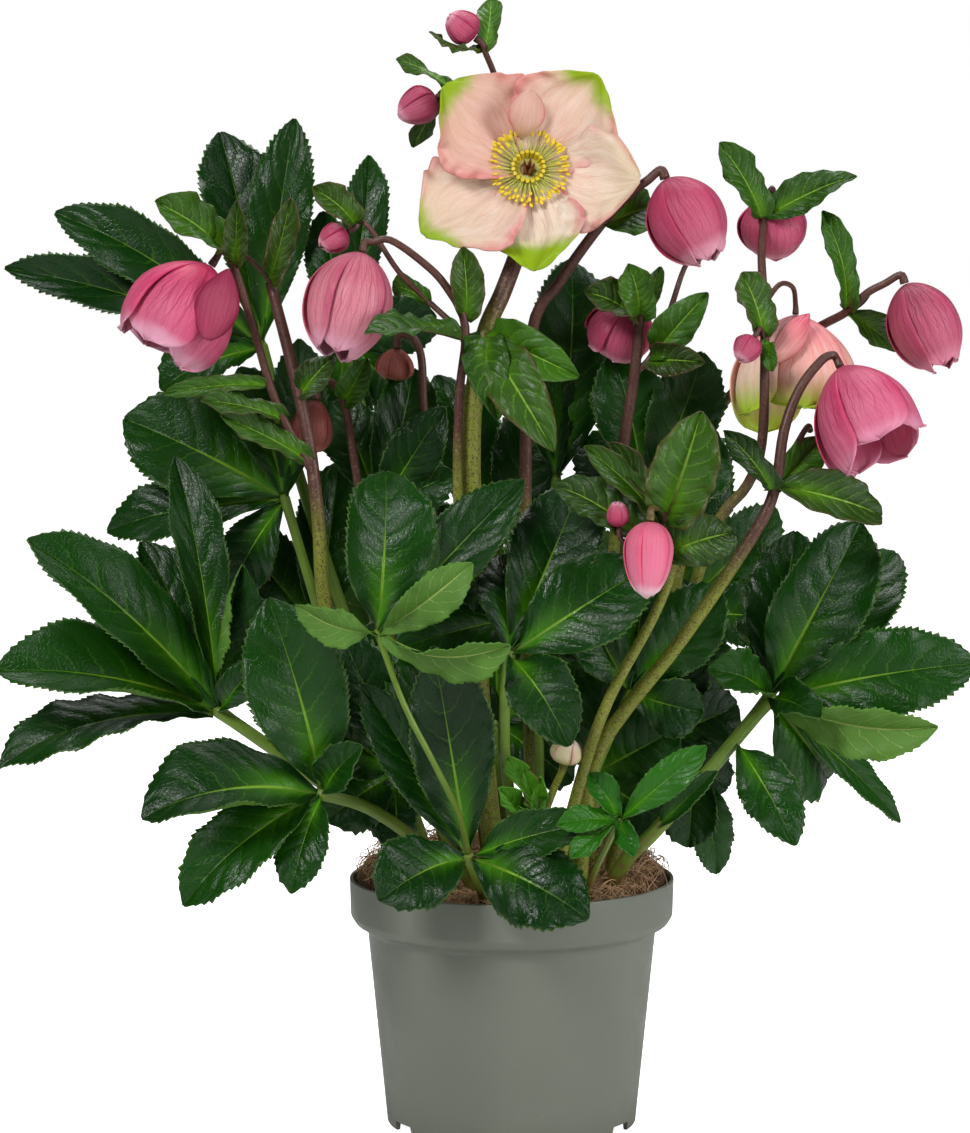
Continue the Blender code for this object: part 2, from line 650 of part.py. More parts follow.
def tube(name, path, radii, margin=0.0):
    """A closed tube along a path, six-sided if it is thick and four-sided if it is thin."""
    curve = bpy.data.curves.new(name, "CURVE")
    curve.dimensions = "3D"
    curve.bevel_depth = MM
    curve.bevel_resolution = 1 if radii[0] > SIX_SIDED_FROM else 0
    curve.use_fill_caps = True
    spline = curve.splines.new("POLY")
    spline.points.add(len(path) - 1)
    for point, place, radius in zip(spline.points, path, radii):
        point.co = (*(Vector(place) * MM), 1.0)
        point.radius = radius + margin
    return settle(new_object(name, curve))


def taper(start, end, count):
    """Evenly spaced values from start to end."""
    return [start + (end - start) * i / (count - 1) for i in range(count)]


def blade_outline(t, shape):
    """Half width of a blade at t, as a share of its greatest half width."""
    rise, fall = shape
    widest = rise / (rise + fall)
    return (t / widest) ** rise * ((1 - t) / (1 - widest)) ** fall


def blade_piece(name, blade, base, face, thickness, inset=0.0):
    """A thin arched blade with a keel along its rib and a notched margin."""
    tip = Vector(blade.tip)
    chord = (tip - Vector(base)).normalized()
    base = Vector(base) + chord * inset
    length = (tip - base).length
    rows = blade.rows or LEAST_ROWS + (length > LONG_LEAFLET) + (length > 2 * LONG_LEAFLET)
    up = Matrix.Rotation(FAN_ROLL, 3, chord) @ Vector(blade.face or face)
    up = (up - chord * up.dot(chord)).normalized()
    side = chord.cross(up)
    control = base.lerp(tip, ARCH_PLACE) + up * (2 * blade.arch)
    grid = bmesh.new()
    bmesh.ops.create_grid(grid, x_segments=rows, y_segments=2, size=1.0)
    for vert in grid.verts:
        t = min(max((vert.co.x + 1) / 2, 0.0), 1.0)
        v = round(vert.co.y)
        row = round(t * rows)
        centre = base * (1 - t) ** 2 + control * (2 * t * (1 - t)) + tip * t ** 2
        tangent = ((control - base) * (1 - t) + (tip - control) * t).normalized()
        roll = Matrix.Rotation(blade.twist * t, 3, tangent)
        lift = roll @ side.cross(tangent).normalized()
        across = roll @ side
        half = blade.width / 2 * blade_outline(t, blade.shape)
        if t > TOOTH_FROM and row < rows:
            half *= 1 + TOOTH * (-1) ** row
        if t < 0.5:
            half = max(half, STALK_HALF)
        rise = abs(v) * half * math.sin(blade.fold)
        rise += abs(v) * blade.wave * math.sin(math.pi * (2 * WAVE_TURNS * t + WAVE_SHIFT * v))
        rise *= min(1.0, t / FLAT_FOOT)
        vert.co = (centre + across * (v * half * math.cos(blade.fold)) + lift * rise) * MM
    bmesh.ops.remove_doubles(grid, verts=grid.verts, dist=0.00005)
    bmesh.ops.triangulate(grid, faces=grid.faces)
    mesh = bpy.data.meshes.new(name)
    grid.to_mesh(mesh)
    grid.free()
    item = new_object(name, mesh)
    wall = item.modifiers.new("Thickness", "SOLIDIFY")
    wall.thickness = thickness * MM
    wall.offset = 0.0
    return item


def leaf_path(leaf, start=None):
    """A leaf stalk's run and radii: straight in the soil, then smooth up to its swollen hub."""
    if leaf.root:
        x, y = leaf.root
        path = [Vector((x, y, STEM_BOTTOM))] + smooth_path([(x, y, SOIL_LINE)] + leaf.via + [leaf.hub], 2)
    else:
        path = smooth_path([start] + leaf.via + [leaf.hub], 2)
    radii = taper(leaf.stalk * STALK_SPREAD, leaf.stalk, len(path)) + [leaf.stalk * HUB_END]
    radii[-2] *= HUB_SWELL
    end = path[-1] + (path[-1] - path[-2]).normalized() * leaf.stalk
    return path + [end], radii


def leaf_pieces(leaf, name, start=None):
    """The stalk and the leaflets of one leaf, and of any leaf that branches from it."""
    pieces = [tube(name, *leaf_path(leaf, start))]
    for blade in leaf.leaflets:
        pieces.append(blade_piece(name + "_leaflet", blade, blade.base or leaf.hub, leaf.face,
                                  LEAF_THICKNESS, 0.0 if blade.base else leaf.stalk * HUB_END))
    for branch in leaf.extras:
        pieces += leaf_pieces(branch, name + "_branch", leaf.hub)
    return pieces


def bloom_end(name):
    """Where a stalk meets its bloom, and the way it points there."""
    if name == "bloom_open":
        return Vector(OPEN_SEAT), Vector(OPEN_AXIS).normalized()
    bloom = BLOOMS[name]
    return Vector(bloom.seat), Vector(bloom.axis).normalized()


def stalk_path(points, bloom):
    """A run that ends square to the bloom it carries."""
    points = [Vector(p) for p in points]
    if bloom:
        seat, axis = bloom_end(bloom)
        points += [seat - axis * STALK_SQUARE, seat]
    return points


def stem_path(stem):
    """A flower stem's main run and radii, straight in the soil."""
    x, y, _ = stem.run[0]
    path = stalk_path([(x, y, STEM_BOTTOM), (x, y, SOIL_LINE)] + stem.run[1:], stem.bloom)
    return path, taper(*stem.radii, len(path))


def stem_pieces(stem, name):
    """The main run, the side branches and the small leaves of one flower stem."""
    pieces = [tube(name, *stem_path(stem))]
    for points, start, end, bloom in stem.branches:
        path = stalk_path(points, bloom)
        pieces.append(tube(name + "_branch", path, taper(start, end, len(path))))
    for blade in stem.bracts:
        pieces.append(blade_piece(name + "_bract", blade, blade.base, stem.face, LEAF_THICKNESS))
    return pieces


def axis_frame(axis):
    """Three square directions, the first along the axis."""
    axis = Vector(axis).normalized()
    helper = Vector((0, 1, 0)) if abs(axis.y) < 0.8 else Vector((0, 0, 1))
    first = (helper - axis * helper.dot(axis)).normalized()
    return axis, first, axis.cross(first)


def cup_radius(u, bloom):
    """Radius of a cupped bloom at u of its length."""
    if u < CUP_WIDEST:
        return bloom.radius * math.sqrt(1 - (1 - u / CUP_WIDEST) ** 2)
    return bloom.radius * (1 - (1 - bloom.mouth) * ((u - CUP_WIDEST) / (1 - CUP_WIDEST)) ** 2)


def sepal_phase(column):
    """Where a column lies across its sepal, from the outer edge at 0 to the tucked edge at 1."""
    return SEPAL_COLUMNS[column % len(SEPAL_COLUMNS)]


def bloom_piece(bloom, name):
    """A cupped bloom: one wrapped wall that steps in at each sepal's edge, with five tips."""
    axis, first, second = axis_frame(bloom.axis)
    seat = Vector(bloom.seat)
    columns = SEPALS * len(SEPAL_COLUMNS)
    grid = bmesh.new()
    bmesh.ops.create_grid(grid, x_segments=CUP_ROWS, y_segments=columns, size=1.0)
    for vert in grid.verts:
        u = min(max((vert.co.x + 1) / 2, 0.0), 1.0)
        column = round((vert.co.y + 1) / 2 * columns) % columns
        phase = sepal_phase(column)
        angle = 2 * math.pi / SEPALS * (column // len(SEPAL_COLUMNS) + phase)
        angle += math.radians(bloom.turn)
        along = u * (1 - SEPAL_NOTCH * (2 * phase - 1) ** 2 * u)
        wrap = 1 + SEPAL_OVERLAP * (1 - 2 * phase) * min(1.0, 3 * u)
        radius = cup_radius(along, bloom) * wrap
        place = seat + axis * (GAP + SEPAL_THICKNESS + (bloom.length - SEPAL_THICKNESS) * along)
        place += (first * math.cos(angle) + second * math.sin(angle)) * radius
        vert.co = place * MM
    bmesh.ops.remove_doubles(grid, verts=grid.verts, dist=0.00005)
    bmesh.ops.triangulate(grid, faces=grid.faces)
    bmesh.ops.recalc_face_normals(grid, faces=grid.faces)
    mesh = bpy.data.meshes.new(name)
    grid.to_mesh(mesh)
    grid.free()
    item = new_object(name, mesh)
    wall = item.modifiers.new("Thickness", "SOLIDIFY")
    wall.thickness = SEPAL_THICKNESS * MM
    wall.offset = 0.0
    return item


def cone_piece(name, foot, head, radii, sides):
    """A closed cone between two points, with a radius at each end."""
    work = bmesh.new()
    bmesh.ops.create_cone(work, cap_ends=True, segments=sides, radius1=radii[0] * MM,
                          radius2=radii[1] * MM, depth=(head - foot).length * MM)
    turn = (head - foot).to_track_quat("Z", "Y").to_matrix()
    for vert in work.verts:
        vert.co = turn @ vert.co + (foot + head) / 2 * MM
    mesh = bpy.data.meshes.new(name)
    work.to_mesh(mesh)
    work.free()
    return new_object(name, mesh)


def bud_piece(bloom, name):
    """A closed bud: an egg whose surface steps at the edge of each wrapped sepal."""
    turn = Vector(bloom.axis).to_track_quat("Z", "Y").to_matrix()
    middle = Vector(bloom.seat) + Vector(bloom.axis).normalized() * (bloom.length / 2 + GAP)
    work = bmesh.new()
    fine = bloom.radius > SMALL_BUD
    bmesh.ops.create_uvsphere(work, u_segments=(3 if fine else 2) * SEPALS,
                              v_segments=6 if fine else 5, radius=1.0)
    for vert in work.verts:
        angle = math.atan2(vert.co.y, vert.co.x)
        phase = (angle * SEPALS / (2 * math.pi) + GAP / SEPALS) % 1
        radius = bloom.radius * (BUD_SWELL - BUD_STEP * phase) * (1 - BUD_TAPER * vert.co.z)
        egg = Vector((vert.co.x * radius, vert.co.y * radius, vert.co.z * bloom.length / 2))
        vert.co = (turn @ egg + middle) * MM
    mesh = bpy.data.meshes.new(name)
    work.to_mesh(mesh)
    work.free()
    return new_object(name, mesh)


def open_bloom_pieces(name):
    """Five broad sepals spread from one centre, each with one edge over the next."""
    axis = Vector(OPEN_AXIS).normalized()
    foot = Vector(OPEN_SEAT) + axis * GAP
    centre = Vector(OPEN_SEAT) + axis * OPEN_SEPAL_RISE
    pieces = [cone_piece(name, foot, foot + axis * OPEN_DISC_RISE, OPEN_DISC_RADII, 10)]
    for tip, width in zip(OPEN_TIPS, OPEN_WIDTHS):
        blade = Blade(tip, width, arch=-4, fold=0.12, rows=4, shape=SEPAL_SHAPE)
        pieces.append(blade_piece(name + "_sepal", blade, centre, axis, SEPAL_THICKNESS))
    return pieces


def stamen_pieces(name):
    """Rings of stamens rooted in a small disc."""
    axis, first, second = axis_frame(OPEN_AXIS)
    centre = Vector(OPEN_SEAT) + axis * (OPEN_DISC_RISE + 2 * GAP)
    pieces = [cone_piece(name, centre, centre + axis * STAMEN_DISC_DEPTH, STAMEN_DISC_RADII, 12)]
    for ring, (count, reach) in enumerate(STAMEN_RINGS):
        for k in range(count):
            angle = 2 * math.pi * (k + ring / 2) / count
            out = first * math.cos(angle) + second * math.sin(angle)
            foot = centre + axis * STAMEN_FOOT[0] + out * STAMEN_FOOT[1]
            head = centre + axis * STAMEN_HEAD_RISE + out * reach
            pieces.append(cone_piece(name + "_pin", foot, head, STAMEN_RADII, 3))
    return pieces


def wall_radius(z):
    """Outer radius of the pot's tapered wall at a height below the rim band."""
    return BASE_RADIUS + (NECK_RADIUS - BASE_RADIUS) * z / NECK_Z


def pot():
    """A turned shell with a rim band, a foot ring, a raised floor and a flat boss under it."""
    band_foot = POT_HEIGHT - RIM_DEPTH
    floor_top = FLOOR_Z + POT_WALL
    outside = [
        (RIM_RADIUS, POT_HEIGHT), (RIM_RADIUS - RIM_DRAFT, band_foot),
        (RIM_RADIUS - SHOULDER_STEP, band_foot - SHOULDER_DROP), (NECK_RADIUS, NECK_Z),
        (BASE_RADIUS, 0), (BASE_RADIUS - FOOT_WALL, 0), (BASE_RADIUS - FOOT_WALL, FLOOR_Z),
        (BOSS_RADIUS + BOSS_SLOPE, FLOOR_Z), (BOSS_RADIUS, 0), (0, 0),
    ]
    inside = [
        (0, POT_WALL), (BOSS_RADIUS - 1, POT_WALL), (BOSS_RADIUS + BOSS_SLOPE - 1, floor_top),
        (wall_radius(floor_top) - POT_WALL, floor_top), (NECK_RADIUS - POT_WALL, NECK_Z + 0.5),
        (RIM_RADIUS - RIM_DRAFT - RIM_WALL, band_foot - 1), (RIM_RADIUS - RIM_WALL, POT_HEIGHT),
    ]
    work = bmesh.new()
    verts = [work.verts.new((r * MM, 0, z * MM)) for r, z in outside + inside]
    for a, b in zip(verts, verts[1:] + verts[:1]):
        if a.co.x > 0 or b.co.x > 0:
            work.edges.new((a, b))
    mesh = bpy.data.meshes.new("pot")
    work.to_mesh(mesh)
    work.free()
    shell = new_object("pot", mesh)
    turn = shell.modifiers.new("Turn", "SCREW")
    turn.steps = POT_STEPS
    turn.render_steps = POT_STEPS
    turn.use_merge_vertices = True
    turn.merge_threshold = 0.00001
    turn.use_normal_calculate = True
    cutters = []
    for k in range(NOTCH_COUNT):
        cutters.append(notch_cutter(math.radians(NOTCH_START + 360 * k / NOTCH_COUNT)))
    for k in range(DRAIN_COUNT):
        cutters.append(drain_cutter(math.radians(DRAIN_START + 360 * k / DRAIN_COUNT)))
    return fuse("pot", [settle(shell)] + cutters, cutting=True)


def notch_cutter(angle):
    """A block that cuts one notch in the foot ring, wider at its open end."""
    work = bmesh.new()
    bmesh.ops.create_cube(work, size=1.0)
    place = Matrix.Rotation(angle, 4, "Z") @ Matrix.Translation((BASE_RADIUS * MM, 0, 0))
    for vert in work.verts:
        flare = 1.0 if vert.co.z > 0 else NOTCH_FLARE
        size = Vector((NOTCH_REACH, NOTCH_WIDTH * flare, 2 * NOTCH_HEIGHT)) * MM
        vert.co = place @ (vert.co * size)
    mesh = bpy.data.meshes.new("notch")
    work.to_mesh(mesh)
    work.free()
    return new_object("notch", mesh)


def drain_cutter(angle):
    """A rod that cuts one drain hole in the raised floor."""
    place = Vector((math.cos(angle), math.sin(angle), 0)) * DRAIN_RING
    up = Vector((0, 0, 1))
    return cone_piece("drain", place + up * GAP, place + up * 2 * FLOOR_Z,
                      (DRAIN_RADIUS, DRAIN_RADIUS), DRAIN_SIDES)


def soil_height(radius, angle):
    """Height of the root ball's top: heaped at the sides and the back, lower in front."""
    share = radius / RIM_RADIUS
    front = 0.5 - 0.5 * math.sin(angle)
    heap = SOIL_MOUND * share * (1 - front ** 2)
    ripple = SOIL_RIPPLE * math.sin(5 * angle + radius * 0.2) * share
    edge = max(0.0, share - 0.85) / 0.15
    return SOIL_TOP + heap + ripple - SOIL_EDGE_DROP * edge


def soil(cutters):
    """The root ball, as a ring mesh with a plain hole for each stem."""
    inset = POT_WALL + 2 * GAP
    low = FLOOR_Z + POT_WALL + GAP
    edge = RIM_RADIUS - SOIL_RIM_GAP
    rings = [(radius, None) for radius in (*SOIL_RINGS, edge)]
    rings += [(edge, POT_HEIGHT - RIM_DEPTH), (NECK_RADIUS - inset, NECK_Z),
              (wall_radius(low) - inset, low)]
    work = bmesh.new()
    top = work.verts.new((0, 0, soil_height(0, 0) * MM))
    loops = []
    for radius, z in rings:
        loop = []
        for k in range(POT_STEPS):
            angle = 2 * math.pi * k / POT_STEPS
            height = soil_height(radius, angle) if z is None else z
            loop.append(work.verts.new((radius * math.cos(angle) * MM, radius * math.sin(angle) * MM,
                                        height * MM)))
        loops.append(loop)
    for k in range(POT_STEPS):
        nxt = (k + 1) % POT_STEPS
        work.faces.new((top, loops[0][k], loops[0][nxt]))
        for outer, inner_loop in zip(loops[1:], loops):
            work.faces.new((inner_loop[k], outer[k], outer[nxt], inner_loop[nxt]))
    work.faces.new(list(reversed(loops[-1])))
    bmesh.ops.triangulate(work, faces=work.faces)
    bmesh.ops.recalc_face_normals(work, faces=work.faces)
    mesh = bpy.data.meshes.new("root_ball")
    work.to_mesh(mesh)
    work.free()
    return fuse("root_ball", [new_object("root_ball", mesh)] + cutters, cutting=True)


def hole_cutters():
    """A slightly wider copy of each stem and leaf stalk where it stands in the soil."""
    runs = [leaf_path(leaf) for leaf in LEAVES.values()] + [stem_path(stem) for stem in STEMS.values()]
    cutters = []
    for path, radii in runs:
        foot = path[0] - Vector((0, 0, GAP))
        cutters.append(tube("hole", [foot] + path[1:3], radii[:3], margin=HOLE_MARGIN))
    return cutters


def material(name, colour, roughness, metallic=0.0):
    """A plain shader of one colour."""
    finish = bpy.data.materials.new(name)
    finish.use_nodes = True
    shader = finish.node_tree.nodes["Principled BSDF"]
    shader.inputs["Base Color"].default_value = (*colour, 1.0)
    shader.inputs["Roughness"].default_value = roughness
    shader.inputs["Metallic"].default_value = metallic
    return finish


def finish_object(item, look, home):
    """Give a finished solid its material and its collection."""
    item.data.materials.clear()
    item.data.materials.append(look)
    for other in item.users_collection:
        other.objects.unlink(item)
    home.objects.link(item)


def main():
    """Build every node of the plant, the root ball and the pot."""
    for item in list(bpy.data.objects):
        bpy.data.objects.remove(item)
    home = bpy.data.collections.new("christmas_rose")
    bpy.context.scene.collection.children.link(home)
    leaf_green = material("leaf_green", (0.025, 0.09, 0.022), 0.4)
    stem_green = material("stem_green", (0.10, 0.10, 0.04), 0.6)
    finish_object(pot(), material("pot_plastic", (0.17, 0.19, 0.155), 0.55), home)
    finish_object(soil(hole_cutters()), material("root_fibre", (0.10, 0.05, 0.025), 0.95), home)
    for name, leaf in LEAVES.items():
        finish_object(fuse(name, leaf_pieces(leaf, name)), leaf_green, home)
    for name, stem in STEMS.items():
        finish_object(fuse(name, stem_pieces(stem, name)), stem_green, home)
    for name, bloom in BLOOMS.items():
        look = material(name + "_petal", bloom.colour, 0.5)
        maker = bloom_piece if bloom.radius > BUD_RADIUS else bud_piece
        finish_object(fuse(name, [maker(bloom, name)]), look, home)
    look = material("open_petal", (0.84, 0.60, 0.52), 0.5)
    finish_object(fuse("bloom_open", open_bloom_pieces("bloom_open")), look, home)
    look = material("stamen_yellow", (0.75, 0.62, 0.05), 0.6)
    finish_object(fuse("bloom_open_stamens", stamen_pieces("bloom_open_stamens")), look, home)


main()
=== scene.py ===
# %% [markdown]
# # A potted Christmas rose
# A hellebore is mostly thin living sheets: toothed leaflets, leafy stalks and papery sepals.
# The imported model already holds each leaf, stem, bloom and the pot as a coarse solid. This lesson
# loads those solids and grows a finer piece over each one, with the same tips, hubs and seats.

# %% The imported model
import json
import math
from dataclasses import dataclass, field

import bmesh
import bpy
import numpy as np
from mathutils import Matrix, Vector

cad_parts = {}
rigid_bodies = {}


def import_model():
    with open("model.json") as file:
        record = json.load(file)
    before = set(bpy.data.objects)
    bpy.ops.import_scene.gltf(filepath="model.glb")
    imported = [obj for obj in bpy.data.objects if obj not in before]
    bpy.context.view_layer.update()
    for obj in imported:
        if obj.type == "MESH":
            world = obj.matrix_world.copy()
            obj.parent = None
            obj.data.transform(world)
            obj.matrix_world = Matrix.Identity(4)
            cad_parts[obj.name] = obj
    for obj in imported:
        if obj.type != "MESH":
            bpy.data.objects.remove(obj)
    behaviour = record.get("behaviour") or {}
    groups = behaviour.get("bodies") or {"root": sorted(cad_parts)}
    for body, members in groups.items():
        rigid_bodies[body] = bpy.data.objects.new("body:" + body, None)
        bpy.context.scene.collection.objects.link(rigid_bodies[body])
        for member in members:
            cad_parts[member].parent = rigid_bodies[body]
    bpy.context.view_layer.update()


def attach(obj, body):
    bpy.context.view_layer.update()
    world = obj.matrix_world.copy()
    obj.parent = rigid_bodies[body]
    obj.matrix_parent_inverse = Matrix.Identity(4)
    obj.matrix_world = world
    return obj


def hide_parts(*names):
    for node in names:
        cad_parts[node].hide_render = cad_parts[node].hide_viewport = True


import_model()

# %% [markdown]
# ## Camera
# The camera goes first, because every later judgement is made through it. It stands two metres
# in front and half a metre up, with a long lens, as a catalogue photograph is taken.

# %% Camera
MM = 0.001
IMAGE_HEIGHT_PX = 1133
SENSOR = 36.0
CAMERA_PLACE = Vector((-14, -2000, 490)) * MM
CAMERA_AIM = Vector((-14, 0, 293)) * MM
FOCAL_PX = 3859.0


def link(item):
    """Put an object into the scene."""
    bpy.context.scene.collection.objects.link(item)
    return item


camera_data = bpy.data.cameras.new("camera")
camera_data.sensor_width = SENSOR
camera_data.lens = FOCAL_PX * SENSOR / IMAGE_HEIGHT_PX
camera = link(bpy.data.objects.new("camera", camera_data))
camera.location = CAMERA_PLACE
camera.rotation_euler = (CAMERA_AIM - CAMERA_PLACE).to_track_quat("-Z", "Y").to_euler()
bpy.context.scene.camera = camera
print("lens", round(camera_data.lens, 1), "mm")

# %% [markdown]
# ## The plant's plan
# A leaf is a stalk from the soil to a hub, and leaflets that fan out from the hub. A flower stem
# is a run with side stalks and small leaves. Each is a list of points in millimetres, and they are
# the same points that the coarse solids were made from.

# %% Kinds of part
LEAF_SHAPE = (1.2, 0.82)
BRACT_SHAPE = (0.72, 0.78)
STEM_FACE = (0.0, -0.9, 0.4)


@dataclass
class Blade:
    """One leaflet or stem leaf from base to tip; curl is the angle at its left and right margin."""
    tip: tuple
    width: float
    arch: float = 5.0
    fold: float = 0.16
    face: tuple = None
    base: tuple = None
    wave: float = 1.0
    curl: tuple = None
    broad: float = 1.0
    shape: tuple = LEAF_SHAPE


@dataclass
class Leaf:
    """A leaf: its stalk from the soil to the hub, the leaflets round the hub, and how fresh it is."""
    root: tuple
    via: list
    hub: tuple
    leaflets: list
    stalk: float = 2.4
    face: tuple = (0.0, -0.95, 0.3)
    fresh: float = 0.04
    extras: list = field(default_factory=list)


@dataclass
class Stem:
    """A leafy flower stem: its run, side branches, bracts and the height where it turns purple."""
    run: list
    radii: tuple
    bloom: str = None
    branches: list = field(default_factory=list)
    bracts: list = field(default_factory=list)
    flush: float = 330.0


@dataclass
class Bloom:
    """A cupped bloom or bud; reach is the range of its sepals' lengths, as shares to add."""
    seat: tuple
    axis: tuple
    length: float
    radius: float
    mouth: float
    turn: float = 0.0
    slim: float = 1.0
    taper: float = 0.25
    reach: tuple = (-0.05, 0.03)


def bract(base, tip, width, **more):
    """A small stem leaf."""
    settings = dict(arch=3.0, fold=0.4, shape=BRACT_SHAPE, wave=1.3)
    settings.update(more)
    return Blade(tip=tip, width=width, base=base, **settings)


print("kinds of part:", [kind.__name__ for kind in (Blade, Leaf, Stem, Bloom)])

